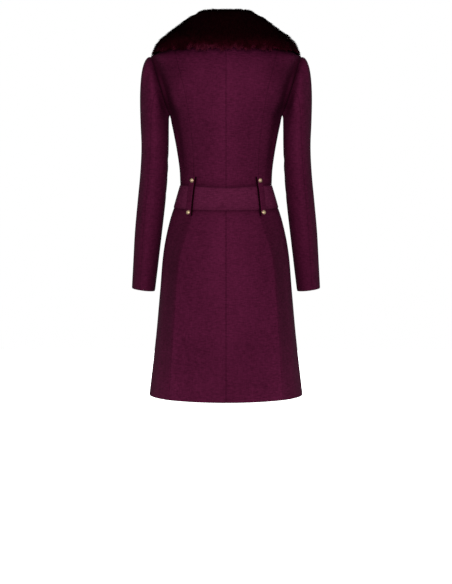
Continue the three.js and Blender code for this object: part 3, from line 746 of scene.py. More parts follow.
# dark and light are the wool's own colours; shadow is the painted shadow colour that painted shade mixes
# towards
plumWool = {
    "dark": (0.0425, 0.0037, 0.0161),
    "light": (0.1005, 0.0100, 0.0404),
    "shadow": (0.010, 0.0006, 0.0030),
    "shares": {"weave": 1.9, "warp": 0.9, "nap": 0.6, "mottle": 0.5},
    "roughness": 0.60,
    "uneven": 0.12,
    "lustre": 0.20,
    "lustreTint": (1.0, 0.12, 0.40),
    "sheen": 0.02,
    "sheenRoughness": 0.45,
    "sheenTint": (0.8, 0.3, 0.6),
    "bump": 0.35,
    "bumpDepth": 0.0006,
    "weaveHeight": 0.55,
    "napHeight": 0.45,
}
bandWool = {
    **plumWool,
    "dark": (0.0530, 0.0055, 0.0212),
    "light": (0.1190, 0.0149, 0.0500),
    "shares": {**plumWool["shares"], "mottle": 0.2},
}


def woolLook(wire, wool):
    place = objectPlace(wire)
    layers = {name: noiseOn(wire, place, **layer) for name, layer in woolLayers.items()}
    share = 0.5
    for name, layer in layers.items():
        share = share + (layer - 0.5) * wool["shares"][name]
    # painted light: the stored share mixes the painted shadow colour to the lit wool, and below 0 goes darker
    # still
    paintedLightShare = wire.node("ShaderNodeAttribute", output=2, attribute_name="open")
    lit = blended(wire, share, rgba(wool["dark"]), rgba(wool["light"]))
    height = layers["weave"] * wool["weaveHeight"] + layers["nap"] * wool["napHeight"]
    relief = {"Strength": wool["bump"], "Distance": wool["bumpDepth"], "Height": height}
    return {
        "Base Color": blended(wire, paintedLightShare, rgba(wool["shadow"]), lit, within=False),
        "Roughness": (layers["nap"] - 0.5) * wool["uneven"] + wool["roughness"],
        "Normal": wire.node("ShaderNodeBump", relief),
        "Sheen Weight": wool["sheen"],
        "Sheen Roughness": wool["sheenRoughness"],
        "Sheen Tint": rgba(wool["sheenTint"]),
        "Specular IOR Level": wool["lustre"],
        "Specular Tint": rgba(wool["lustreTint"]),
    }


# Polished pale gold, the skin under the fur, and the paper of the floor
plainGrain = {"scale": (420.0, 420.0, 420.0), "detail": 3.0, "rough": 0.6}
gold = {
    "dark": (0.90, 0.62, 0.31),
    "light": (1.0, 0.82, 0.55),
    "grain": plainGrain,
    "roughness": 0.38,
    "uneven": 0.12,
    "more": {"Metallic": 0.66},
}
peltSkin = {
    "dark": (0.0010, 0.0002, 0.0003),
    "light": (0.0060, 0.0010, 0.0014),
    "grain": {**plainGrain, "scale": (300.0, 300.0, 300.0)},
    "roughness": 0.85,
    "uneven": 0.1,
    "more": {"Specular IOR Level": 0.02},
}
paper = {
    "dark": (0.86, 0.86, 0.86),
    "light": (0.90, 0.90, 0.90),
    "grain": {"scale": (3.0, 3.0, 3.0)},
    "roughness": 0.9,
    "uneven": 0.0,
    "more": {"Emission Color": (1.0, 1.0, 1.0, 1.0), "Emission Strength": 0.8},
}


def grainLook(wire, finish):
    # two colours mixed by a grain that also makes the shine uneven
    grain = noiseOn(wire, objectPlace(wire), **finish["grain"])
    return {
        "Base Color": blended(wire, grain, rgba(finish["dark"]), rgba(finish["light"])),
        "Roughness": finish["roughness"] + grain * finish["uneven"],
        **finish["more"],
    }


woolFinish = principled("plumWool", woolLook, plumWool)
bandFinish = principled("plumWoolBand", woolLook, bandWool)
goldFinish = principled("paleGold", grainLook, gold)
print("materials of cloth and metal made")


def backTop(across):
    onNeck = across < coat["neckWidth"]
    share = across / coat["neckWidth"]
    neck = coat["napeRise"] * (1 - share * share)
    slope = (across - coat["neckWidth"]) / (coat["shoulderX"] - coat["neckWidth"])
    return np.where(onNeck, neck, coat["shoulderZ"] * slope)


# Patches of cloth: s runs from the centre outwards and t upwards, or down the sleeve, both from 0 to 1
def bodiceBack(s, t, mirror):
    top = backTop(s * coat["princessX"])
    share = (seamLevel(t) - coat["bandTop"]) / (coat["princessZ"] - coat["bandTop"])
    level = mixed(coat["bandTop"], top, share)
    across = np.minimum(s * seamAt(level)["across"], ringAt(level)["width"])
    return onBody(angleOf(np.maximum(across, tiny), level, False), level, mirror)


def bodiceSide(s, t, mirror, front):
    seamZ = seamLevel(t)
    low = t <= coat["underarmShare"]
    holeZ = mixed(coat["underarmZ"], coat["shoulderZ"], (1 - np.cos(math.pi * pastUnderarm(t))) / 2)
    holeZ = np.where(low, seamZ, holeZ)
    seamAngle = angleOf(seamX(seamZ), seamZ, False)
    holeAngle = np.where(low, quarterTurn, armholeAngle(holeZ, False))
    level = mixed(seamZ, holeZ, s)
    angle = mixed(seamAngle, holeAngle, s)
    return onBody(math.pi - angle if front else angle, level, mirror)


def overlapAt(across, mirror):
    if mirror > 0:
        return np.zeros_like(across)
    return lap["lift"] * smoothStep(-across, -lap["half"] - lap["far"], -lap["half"] - lap["near"])


def onFront(across, level, mirror):
    across = np.where(np.abs(across) < tiny, tiny, across)
    return onBody(angleOf(across, level, True), level, mirror, overlapAt(across, mirror))


def bodiceFront(s, t, mirror):
    low = t < lap["bend"]
    part = np.clip((t - lap["bend"]) / (1 - lap["bend"]), 0, 1)
    edgeZ = np.where(low, mixed(coat["bandTop"], lap["top"], t / lap["bend"]), mixed(lap["top"], 0, part))
    edgeX = np.where(low, -lap["half"], mixed(-lap["half"], coat["neckWidth"], part ** lap["curve"]))
    seamZ = seamLevel(t)
    level = mixed(edgeZ, seamZ, s)
    across = np.minimum(mixed(edgeX, seamX(seamZ), s), ringAt(level)["width"])
    return onFront(across, level, mirror)


def edgeAngle(edge, level):
    # an edge is an angle from the centre back, or the panel seam behind or in front
    if edge in ("backSeam", "frontSeam"):
        return angleOf(seamAt(level)["across"], level, edge == "frontSeam")
    return edge


def levelPatch(s, t, mirror, inner, outer, bottom, top):
    level = mixed(bottom, top, t)
    return onBody(mixed(edgeAngle(inner, level), edgeAngle(outer, level), s), level, mirror)


def skirtFront(s, t, mirror):
    level = mixed(*skirtRange, t)
    return onFront(mixed(-lap["half"], seamAt(level)["across"], s), level, mirror)


def bandFront(s, t, mirror):
    level = mixed(*bandRange, t)
    over = 2 * math.pi - angleOf(np.full(level.shape, lap["half"]), level, True)
    angle = mixed(over, quarterTurn, s)
    angle = np.where(angle > math.pi, angle - 2 * math.pi, angle)
    return onBody(angle, level, mirror, overlapAt(ringPoint(angle, level)[..., 0], mirror))


def sleevePatch(s, t, mirror, upper):
    seams = readTable(sleeveSeams, t)
    start = seams["front"] if upper else seams["back"]
    end = seams["back"] if upper else seams["front"] + 360
    return onSleeve(np.radians(mixed(start, end, s)), t, mirror)


# Belt loops, standing a little off the band, with a thin wall along their inner edge that leans out and
# carries a painted shadow
loop = {
    "width": 0.013,
    "wall": 0.0018,
    "gap": 0.0010,
    "bow": 0.0028,
    "innerLift": 0.0012,
    "round": 0.8,
    "top": -0.365,
    "bottom": -0.468,
    "step": 0.0016,
    # the painted shadow on the leaning wall: its reach, its lift and its painted light share, below 0 darker
    # than the shadow colour
    "recess": {"reach": 0.0056, "lift": 0.0012, "open": -0.10},
}
loopLine = tableOf("level across", [
    (-365, 86),
    (-374.6, 87),
    (-460.5, 96.7),
    (-468, 97.6),
])


def loopPatch(s, t, mirror):
    level = mixed(loop["bottom"], loop["top"], t)
    across = readTable(loopLine, level)["across"] + (s - 0.5) * loop["width"]
    bow = loop["bow"] * np.maximum(np.sin(math.pi * t), 0) ** loop["round"]
    lift = loop["gap"] + loop["wall"] + bow + loop["innerLift"] * (1 - s)
    return onBody(angleOf(across, level, False), level, mirror, lift)


bandLift = 1.0 * mm
plainCloth = {"finish": woolFinish, "slot": "wool"}
bodyClothWithPaintedLight = {**plainCloth, "tone": paintedBodyLight}
bandCloth = {"finish": bandFinish, "slot": "wool_band", "lift": bandLift, "creased": False, "tone": paintedBandSideLight}
loopCloth = {**plainCloth, "creased": False, **{key: loop[key] for key in ("wall", "step", "recess")}}

# Each piece: its patch with settings, its edges at s 0, s 1, t 0 and t 1, what it is cut to (width, length
# and flat area in metres), what it hangs from, and its cloth
clothRows = {
    "bodice back": (bodiceBack, (), "seam seam tuck -", (0.165, 0.434, 0.0469),
        "bodice_side_back_{0} collar_back", bodyClothWithPaintedLight),
    "bodice side back": (bodiceSide, (False,), "seam hole tuck seam", (0.107, 0.419, 0.0328),
        "bodice_side_front_{0}", bodyClothWithPaintedLight),
    "bodice side front": (bodiceSide, (True,), "seam hole tuck seam", (0.120, 0.416, 0.0349),
        "bodice_side_back_{0}", bodyClothWithPaintedLight),
    "bodice front": (bodiceFront, (), "free seam tuck seam", (0.160, 0.447, 0.0392),
        "bodice_side_front_{0} collar_lapel_{0}", bodyClothWithPaintedLight),
    "waistband front": (bandFront, (), "free seam bandFoot bandEdge", (0.231, 0.066, 0.0144),
        "bodice_front_{0} bodice_side_front_{0}", bandCloth),
    "skirt back": (levelPatch, (tiny, "backSeam", *skirtRange), "seam softSeam hem tuck",
        (0.162, 0.504, 0.0679), "waistband_back", bodyClothWithPaintedLight),
    "skirt side back": (levelPatch, ("backSeam", quarterTurn, *skirtRange), "folded softSeam hem tuck",
        (0.127, 0.505, 0.0615), "waistband_back", bodyClothWithPaintedLight),
    "skirt side front": (levelPatch, (quarterTurn, "frontSeam", *skirtRange), "softSeam folded hem tuck",
        (0.122, 0.505, 0.0601), "waistband_front_{0}", bodyClothWithPaintedLight),
    "skirt front": (skirtFront, (), "free softSeam hem tuck", (0.192, 0.502, 0.0827),
        "waistband_front_{0}", bodyClothWithPaintedLight),
    "sleeve top": (sleevePatch, (True,), "softSeam softSeam head hem", (0.289, 0.635, 0.0944),
        "bodice_side_back_{0} bodice_side_front_{0}", plainCloth),
    "sleeve under": (sleevePatch, (False,), "softSeam softSeam head hem", (0.179, 0.479, 0.0695),
        "bodice_side_back_{0} bodice_side_front_{0}", plainCloth),
    "waistband back": (levelPatch, (-quarterTurn, quarterTurn, *bandRange), "seam seam bandFoot bandEdge",
        (0.390, 0.066, 0.0243), "bodice_back_left bodice_back_right", bandCloth),
    "belt loop": (loopPatch, (), "free free free free", (0.018, 0.106, 0.0018),
        "bodice_back_{0} skirt_back_{0}", loopCloth),
}


def namesOf(words):
    # "skirt back left" is the piece skirtBackLeft in the place of the node skirt_back_left
    parts = words.split()
    return parts[0] + "".join(part.capitalize() for part in parts[1:]), "_".join(parts)


def handOver(piece, node, finish=None):
    if finish:
        piece.data.materials.append(finish)
    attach(piece, "root")
    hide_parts(node)


def sewn(kind, side="", mirror=1):
    patch, settings, edgeWords, (width, length, area), holders, cloth = clothRows[kind]
    name, node = namesOf(f"{kind} {side}")
    edges = {edge: word for edge, word in zip(("s0", "s1", "t0", "t1"), edgeWords.split()) if word != "-"}
    shaping = {key: value for key, value in cloth.items() if key not in ("finish", "slot")}

    def place(s, t):
        return patch(*np.broadcast_arrays(s, t), mirror, *settings)

    piece = clothPiece(name, place, edges, **shaping)
    handOver(piece, node, cloth["finish"])
    return piece


pairedKinds = [kind for kind in clothRows if kind not in ("waistband back", "belt loop")]
clothPieces = [sewn(kind, side, mirror) for side, mirror in sides for kind in pairedKinds]
clothPieces.append(sewn("waistband back"))
print("cloth cut and sewn:", len(clothPieces), "pieces")
for side, mirror in sides:
    sewn("belt loop", side, mirror)

# Gold domes: a turned foot, a fine groove and a full round top. Rows are (share of radius, share of height)
dome = {
    "sides": 40,
    "sharp": 60,
    "stud": {"radius": 0.0056, "height": 0.0044},
    "button": {"radius": 0.011, "height": 0.0065},
    "studLevels": {"upper": -0.3746, "lower": -0.4605},
    "buttonLevels": (-0.335, -0.4205, -0.520, -0.620),
    "buttonOnBand": 1,
}
domeProfile = [
    (0.90, 0.0), (0.98, 0.04), (1.0, 0.12), (0.98, 0.20), (0.93, 0.23), (0.90, 0.27), (0.88, 0.36),
    (0.83, 0.50), (0.75, 0.64), (0.64, 0.77), (0.50, 0.88), (0.34, 0.95), (0.17, 0.99),
]


def goldDome(words, at, out, radius, height):
    name, node = namesOf(words)
    turn = np.linspace(0, 2 * math.pi, dome["sides"], endpoint=False)
    out = Vector(out).normalized()
    side = out.orthogonal().normalized()
    axes = np.array([side, out.cross(side), out])
    rings = []
    for across, up in domeProfile:
        circle = [np.cos(turn) * across * radius, np.sin(turn) * across * radius]
        rings.append(np.stack([*circle, np.full(turn.shape, up * height)], axis=-1))
    points = np.concatenate([*rings, [[0, 0, 0]], [[0, 0, height]]]) @ axes + np.array(at)
    index = np.arange(len(rings) * dome["sides"]).reshape(len(rings), -1)
    index = np.column_stack([index, index[:, 0]])
    foot = index[0].tolist()
    rim = index[-1].tolist()
    faces = gridFaces(index).tolist()
    faces += [(after, before, len(points) - 2) for before, after in zip(foot, foot[1:])]
    faces += [(before, after, len(points) - 1) for before, after in zip(rim, rim[1:])]
    handOver(meshObject(name, points, faces, dome["sharp"]), node, goldFinish)


for side, mirror in sides:
    for which, level in dome["studLevels"].items():
        t = np.array([[(level - loop["bottom"]) / (loop["top"] - loop["bottom"])]])
        point, out = loopPatch(np.array([[0.5]]), t, mirror)
        goldDome(f"stud {which} {side}", point[0, 0], out[0, 0], **dome["stud"])
for at, level in enumerate(dome["buttonLevels"]):
    lift = lap["lift"] + (bandLift if at == dome["buttonOnBand"] else 0)
    point, out = onBody(np.array(math.pi - tiny), np.array(level), -1, np.array(lift))
    goldDome(f"front button {at + 1}", point, out, **dome["button"])
print("loops, studs and buttons made")

# Fur collar: sections from the back of the neck round to the end of the lapel
collarSections = tableOf("at neckX neckY neckZ rollX rollY rollZ edgeX edgeY edgeZ upper lower", [
    (0, 0, 50, 6, 0, 68, 76, 0, 112, -38, 10, 9),
    (1, 26, 47, 6, 30, 65, 76, 55, 110, -38, 10, 9),
    (2, 50, 36, 4, 55, 52, 75, 105, 100, -38, 10, 10),
    (3, 66, 20, 0, 70, 34, 72, 152, 78, -39, 8, 12),
    (4, 73, 4, -4, 78, 12, 68, 186, 46, -43, 6, 15.5),
    (5, 74, -10, -5, 79, -10, 62, 198.5, 8, -46, 6, 17),
    (6, 73, -26, -12, 76, -34, 48, 194, -34, -54, 8, 14),
    (7, 69, -44, -30, 70, -62, 20, 178, -76, -82, 9, 10),
    (8, 62, -66, -60, 60, -90, -22, 156, -102, -122, 8, 8),
    (9, 50, -88, -110, 46, -114, -88, 128, -118, -172, 7, 6),
    (10, 34, -108, -170, 30, -134, -160, 94, -132, -226, 6, 5),
    (11, 18, -118, -230, 15, -144, -228, 56, -140, -272, 5, 4),
    (12, 4, -116, -282, 4, -138, -284, 16, -134, -300, 3, 3),
], plain="at")
# How the pelt under the hair lies inside the reach of the fur, and how it is cut up
pelt = {
    "rollIn": 0.0115,
    "sideIn": 0.0055,
    "edgeIn": 0.0105,
    "cornerDrop": 0.0035,
    "fullIn": 0.0055,
    "fullness": 1.9,
    "slopeBack": 1.2,
    "rollAt": 0.4,
    "upperHandle": 0.3,
    "lowerHandle": 0.22,
    "neckHandle": 0.45,
    "rollHandle": 0.06,
    "turnIn": 0.006,
    "heartTop": -0.12,
    "heartBelow": 0.04,
    "clear": 0.0022,
    "wall": 0.002,
    "probeFrom": 0.05,
    "probeReach": 0.08,
    "stations": 11,
    "foldRows": 13,
    "faceRows": 25,
    "faceRow": 30,
    "inside": (0, 0, -0.05),
    "cornerAt": (3.4, 4.6, 5.4, 6.6),
    "sideAt": (2.0, 3.5, 6.0, 9.0),
    "slopeAt": (1.6, 2.7, 2.9, 3.9),
    "lapelAt": (6, 9),
}


def atCorner(at):
    # 1 where the collar lies over the shoulder, 0 well away from it
    return between(at, *pelt["cornerAt"])


def collarPoints(section, across):
    # points of one family of sections from the neck edge (0) over the roll (0.4) to the outer edge (1)
    neck, roll, edge = (
        np.stack([section[place + axis] for axis in "XYZ"], axis=-1) for place in ("neck", "roll", "edge")
    )
    at = section["at"]
    sideways = smoothStep(at, *pelt["lapelAt"])[..., None] * np.array([1, 0, 0]) + np.array([0, 1, 1])
    roll = roll + unit(((neck + edge) / 2 - roll) * sideways) * pelt["rollIn"]
    roll[..., 0] -= pelt["sideIn"] * between(at, *pelt["sideAt"])
    edge = edge + unit(roll - edge) * pelt["edgeIn"]
    edge = edge - atCorner(at)[..., None] * np.array([0, 0, pelt["cornerDrop"]])
    atSlope = between(at, *pelt["slopeAt"])[..., None]
    fullIn = pelt["fullIn"] * pelt["fullness"]
    upper = section["upper"][..., None] * pelt["fullness"] - fullIn * (1 - pelt["slopeBack"] * atSlope)
    lower = section["lower"][..., None] * pelt["fullness"] - fullIn
    level = 0 * edge[..., 0]
    heart = np.stack([level, level, np.minimum(pelt["heartTop"], edge[..., 2] - pelt["heartBelow"])], axis=-1)
    fall = edge - roll
    rise = roll - neck
    plane = unit(np.cross(fall, rise))
    out = unit(np.cross(plane, fall))
    out = out * np.sign(np.sum(out * (roll - heart), axis=-1, keepdims=True))
    inside = unit(np.cross(rise, plane))
    inside = inside * -np.sign(np.sum(inside * fall, axis=-1, keepdims=True))
    above = roll + fall * pelt["upperHandle"] + out * upper
    below = edge - fall * pelt["lowerHandle"] + out * lower
    turned = roll + inside * pelt["turnIn"] - rise * pelt["rollHandle"]
    face = (roll, above, below, edge)
    fold = (neck, neck + rise * pelt["neckHandle"], turned, roll)
    onFace = across >= pelt["rollAt"]
    w = np.where(onFace, (across - pelt["rollAt"]) / (1 - pelt["rollAt"]), across / pelt["rollAt"])[..., None]
    a, b, c, d = (np.where(onFace[..., None], first, second) for first, second in zip(face, fold))
    return (1 - w) ** 3 * a + 3 * (1 - w) ** 2 * w * b + 3 * (1 - w) * w**2 * c + w**3 * d


def searchTree(pieces):
    # one search tree over every piece of cloth made so far
    points = []
    faces = []
    for piece in pieces:
        shift = len(points)
        points.extend(tuple(vertex.co) for vertex in piece.data.vertices)
        faces.extend(tuple(k + shift for k in polygon.vertices) for polygon in piece.data.polygons)
    return BVHTree.FromPolygons(points, faces)


clothTree = searchTree(clothPieces)


def liftedOff(points, outward, clear):
    # moves points that lie in or too near the cloth out of it
    moved = points.copy()
    for at, (point, way) in enumerate(zip(points, outward)):
        begin = Vector(point) + Vector(way) * pelt["probeFrom"]
        hit, _, _, _ = clothTree.ray_cast(begin, -Vector(way), pelt["probeReach"])
        if hit is not None and (Vector(point) - hit).dot(Vector(way)) < clear:
            moved[at] = np.array(hit) + np.array(way) * clear
    return moved


def collarPelt(part):
    stations = int(round((part["end"] - part["start"]) * pelt["stations"]))
    at = np.linspace(part["start"], part["end"], stations + 1)
    if part["both"]:
        at = np.concatenate([-at[:0:-1], at])
    foldRows = np.linspace(0, pelt["rollAt"], pelt["foldRows"])
    across = np.concatenate([foldRows, np.linspace(pelt["rollAt"], 1, pelt["faceRows"])[1:]])
    atGrid, acrossGrid = np.meshgrid(at, across, indexing="ij")
    points = collarPoints(readTable(collarSections, np.abs(atGrid)), acrossGrid)
    points[..., 0] *= np.sign(atGrid + tiny) * part["mirror"]
    flow = unit(np.gradient(points, axis=1))
    normal = unit(np.cross(unit(np.gradient(points, axis=0)), flow))
    middle = (len(at) // 2, pelt["faceRow"])
    if normal[middle] @ (points[middle] - np.array(pelt["inside"])) < 0:
        normal = -normal
    flat = liftedOff(points.reshape(-1, 3), normal.reshape(-1, 3), pelt["clear"] + pelt["wall"])
    return flat.reshape(points.shape), normal, flow, acrossGrid, atGrid


# root and darkTip are the fur's own colours; the red tip is partly the fur's own wine tips and partly painted
# highlight, the pale tip is painted highlight
furColours = {
    "shine": (1.0, 0.35, 0.4),
    "root": (0.0010, 0.0001, 0.0002),
    "darkTip": (0.0060, 0.0003, 0.0005),
    "redTipAndHighlight": (0.058, 0.0022, 0.0105),
    "paintedHighlightTip": (0.165, 0.022, 0.050),
    "highlightFrom": 0.80,
    "highlightTo": 0.95,
    "highlightPower": 5.0,
    "redPower": 1.4,
    "tipPower": 1.3,
    "tipShare": 0.55,
    "streak": (160.0, 5.0, 1.0),
    "streakShare": 0.9,
    "roughness": 0.62,
    "uneven": 0.2,
    "lustre": 0.05,
}


def furLook(wire):
    # the map holds how red a hair is across and its length upwards
    place = wire.node("ShaderNodeUVMap", uv_map="OFBake")
    parts = wire.node("ShaderNodeSeparateXYZ", {0: place})
    red = parts.output("X")
    along = parts.output("Y")
    streak = noiseOn(wire, place, furColours["streak"], 2.0, 0.6)
    share = red ** furColours["redPower"]
    tip = blended(wire, share, rgba(furColours["darkTip"]), rgba(furColours["redTipAndHighlight"]))
    share = (along ** furColours["tipPower"]) * (furColours["tipShare"] + streak * furColours["streakShare"])
    lit = blended(wire, share, rgba(furColours["root"]), tip)
    # painted highlight: the tips of the reddest hairs turn pale
    highlightRange = {0: red, 1: furColours["highlightFrom"], 2: furColours["highlightTo"]}
    highlightShare = wire.node("ShaderNodeMapRange", highlightRange, clamp=True)
    highlightShare = highlightShare * (along ** furColours["highlightPower"])
    return {
        "Base Color": blended(wire, highlightShare, lit, rgba(furColours["paintedHighlightTip"])),
        "Roughness": furColours["roughness"] + streak * furColours["uneven"],
        "Specular IOR Level": furColours["lustre"],
        "Specular Tint": rgba(furColours["shine"]),
    }


furFinish = principled("wineTippedFurWithHighlight", furLook)
peltFinish = principled("furPelt", grainLook, peltSkin)

# The hairs: their size, how they clump, sway, taper and bend, how uneven they are in length, and how red
hair = {
    "width": 0.0013,
    "length": 0.0165,
    "rise": 0.55,
    "clumpScale": 75.0,
    "clumpSway": 1.9,
    "fineSway": 0.22,
    "taper": 1.6,
    "lean": 1.25,
    "forward": 0.86,
    "arch": 1.8,
    "weld": 0.00002,
    "shortest": 0.72,
    "longest": 1.12,
    "sizeScale": 95.0,
    "sizeFrom": 0.45,
    "sizeOver": 1.1,
    "sizeSeed": 7,
    "shade": 0.18,
    "shadeSeed": 11,
    "patchScale": 70.0,
    "patchOver": 2.4,
    "patchOff": 0.2,
    "leastRed": 0.02,
    "mostRed": 0.97,
    "mapWidth": 0.006,
    "mapFrom": 0.02,
    "mapLength": 0.96,
}
hairInputs = {
    "Hairs per square metre": 900000.0,
    "Hair length": hair["length"],
    "Hair width": hair["width"],
    "Rise": hair["rise"],
    "Seed": 1,
}


def hairTree():
    # hairs over a face: flat tapering blades that lean along the stored flow, in uneven clumps
    tree = bpy.data.node_groups.new("furHairs", "GeometryNodeTree")
    wire = Wire(tree)
    tree.interface.new_socket(name="Geometry", in_out="INPUT", socket_type="NodeSocketGeometry")
    for name, value in hairInputs.items():
        kind = "NodeSocketInt" if name == "Seed" else "NodeSocketFloat"
        tree.interface.new_socket(name=name, in_out="INPUT", socket_type=kind).default_value = value
    tree.interface.new_socket(name="Geometry", in_out="OUTPUT", socket_type="NodeSocketGeometry")
    begin = wire.node("NodeGroupInput")
    seed = begin.output("Seed")
    length = begin.output("Hair length")

    def named(name, kind="FLOAT"):
        return wire.node("GeometryNodeInputNamedAttribute", {"Name": name}, data_type=kind)

    def stored(geometry, name, value, kind="FLOAT", domain="POINT"):
        inputs = {"Geometry": geometry, "Name": name, "Value": value}
        return wire.node("GeometryNodeStoreNamedAttribute", inputs, data_type=kind, domain=domain)

    def drawn(low, high, shift):
        inputs = {2: low, 3: high, "Seed": seed + shift}
        return wire.node("FunctionNodeRandomValue", inputs, output=1, data_type="FLOAT")

    def noise(scale, detail, output=0):
        inputs = {"Vector": spot, "Scale": scale, "Detail": detail}
        return wire.node("ShaderNodeTexNoise", inputs, output)

    def vectors(operation, first, second, socket=1):
        return wire.node("ShaderNodeVectorMath", {0: first, socket: second}, operation=operation)

    def combined(**parts):
        return wire.node("ShaderNodeCombineXYZ", parts)

    density = begin.output("Hairs per square metre")
    inputs = {"Mesh": begin.output("Geometry"), "Density": density, "Seed": seed}
    scatter = wire.node("GeometryNodeDistributePointsOnFaces", inputs, distribute_method="RANDOM")
    spot = wire.node("GeometryNodeInputPosition")
    sway = vectors("SUBTRACT", noise(hair["clumpScale"], 2.0, "Color"), (0.5, 0.5, 0.5))
    limits = {"Min": (-hair["fineSway"],) * 3, "Max": (hair["fineSway"],) * 3, "Seed": seed}
    fine = wire.node("FunctionNodeRandomValue", limits, data_type="FLOAT_VECTOR")
    swayed = vectors("SCALE", sway, hair["clumpSway"], "Scale")
    way = vectors("ADD", vectors("ADD", named("flow", "FLOAT_VECTOR"), swayed), fine)
    turn = "FunctionNodeAlignRotationToVector"
    upright = wire.node(turn, {"Vector": scatter.output("Normal")}, axis="Z")
    turned = wire.node(turn, {"Rotation": upright, "Vector": way}, axis="Y", pivot_axis="Z")
    sizes = {"Size X": 1.0, "Size Y": 1.0, "Vertices X": 2, "Vertices Y": 3}
    blade = wire.node("GeometryNodeMeshGrid", sizes)
    flat = wire.node("ShaderNodeSeparateXYZ", {0: wire.node("GeometryNodeInputPosition")})
    up = flat.output("Y") + 0.5
    blade = stored(stored(blade, "along", up), "side", flat.output("X"))
    bent = combined(
        X=flat.output("X") * (1.0 - (up ** hair["taper"])) * begin.output("Hair width"),
        Y=(up ** hair["lean"]) * hair["forward"] * length,
        Z=(1.0 - ((1.0 - up) ** hair["arch"])) * begin.output("Rise") * length,
    )
    blade = wire.node("GeometryNodeSetPosition", {"Geometry": blade, "Position": bent})
    blade = wire.node("GeometryNodeMergeByDistance", {"Geometry": blade, "Distance": hair["weld"]})
    uneven = hair["sizeFrom"] + noise(hair["sizeScale"], 2.0) * hair["sizeOver"]
    size = named("reach") * drawn(hair["shortest"], hair["longest"], hair["sizeSeed"]) * uneven
    planted = wire.node("GeometryNodeInstanceOnPoints", {
        "Points": scatter,
        "Instance": blade,
        "Rotation": turned,
        "Scale": combined(X=1.0, Y=size, Z=size),
    })
    patch = noise(hair["patchScale"], 3.0) * hair["patchOver"] - hair["patchOff"]
    redness = named("red") * patch + drawn(-hair["shade"], hair["shade"], hair["shadeSeed"])
    limits = {"Value": redness, "Min": hair["leastRed"], "Max": hair["mostRed"]}
    planted = stored(planted, "redness", wire.node("ShaderNodeClamp", limits), domain="INSTANCE")
    grown = wire.node("GeometryNodeRealizeInstances", {"Geometry": planted})
    mapped = combined(
        X=named("redness") + named("side") * hair["mapWidth"],
        Y=named("along") * hair["mapLength"] + hair["mapFrom"],
    )
    grown = stored(grown, "OFBake", mapped, "FLOAT2", "CORNER")
    grown = wire.node("GeometryNodeSetMaterial", {"Geometry": grown, "Material": furFinish})
    wire.node("NodeGroupOutput", {0: grown}, output=None)
    return tree


furTree = hairTree()

# How the fur changes over the collar: where its hairs are shorter, hang down or turn red; the red along the
# lower edge is partly the fur's own wine tips and partly painted highlight, less towards the sides
growth = {
    "droop": 1.1,
    "cornerShort": 0.42,
    "rollShort": 0.62,
    "edgeUneven": 0.40,
    "edgeShort": 0.20,
    "endShort": 0.4,
    "redBody": 0.13,
    "redEdge": 0.86,
    "redLess": 0.26,
    "redPower": 1.6,
    "endAt": (-12.0, -10.8),
    "droopAt": (0.72, 1.0),
    "overCornerAt": (0.78, 0.98),
    "redLessAt": (1.2, 3.0),
    "rollAt": (0.05, 0.3, 0.42, 0.56),
    "edgeAt": (0.84, 1.0),
    "redAt": (0.67, 1.02),
}
nape = {"start": 0.0, "end": 3.994, "both": True, "hairs": 62000}
lapel = {"start": 4.006, "end": 12.0, "both": False, "hairs": 46000}
furParts = [
    {"words": "collar back", "mirror": 1, "seed": 5, **nape},
    {"words": "collar lapel left", "mirror": 1, "seed": 17, **lapel},
    {"words": "collar lapel right", "mirror": -1, "seed": 29, **lapel},
]


def growthOver(part, flow, across, at):
    # what each point of the pelt tells the hairs that grow there
    waves = ((6.1, 0.8, 0.5), (15.7, part["seed"], 0.7), (29.0, 2.1, 0.4))
    uneven = sum(np.sin(at * rate + shift) * height for rate, shift, height in waves)
    ending = 1 if part["both"] else smoothStep(-at, *growth["endAt"])
    droop = smoothStep(across, *growth["droopAt"])[..., None] * np.array([0, 0, -growth["droop"]])
    overShoulder = atCorner(np.abs(at)) * smoothStep(across, *growth["overCornerAt"])
    redEdge = growth["redEdge"] - growth["redLess"] * smoothStep(np.abs(at), *growth["redLessAt"])
    reach = 1 - growth["rollShort"] * between(across, *growth["rollAt"])
    atEdge = smoothStep(across, *growth["edgeAt"])
    reach = reach + (uneven * growth["edgeUneven"] - growth["edgeShort"]) * atEdge
    reach = reach * (1 - growth["endShort"] + growth["endShort"] * ending)
    return {
        "flow": unit(flow + droop),
        "red": growth["redBody"] + redEdge * smoothStep(across, *growth["redAt"]) ** growth["redPower"],
        "reach": reach * (1 - growth["cornerShort"] * overShoulder),
    }


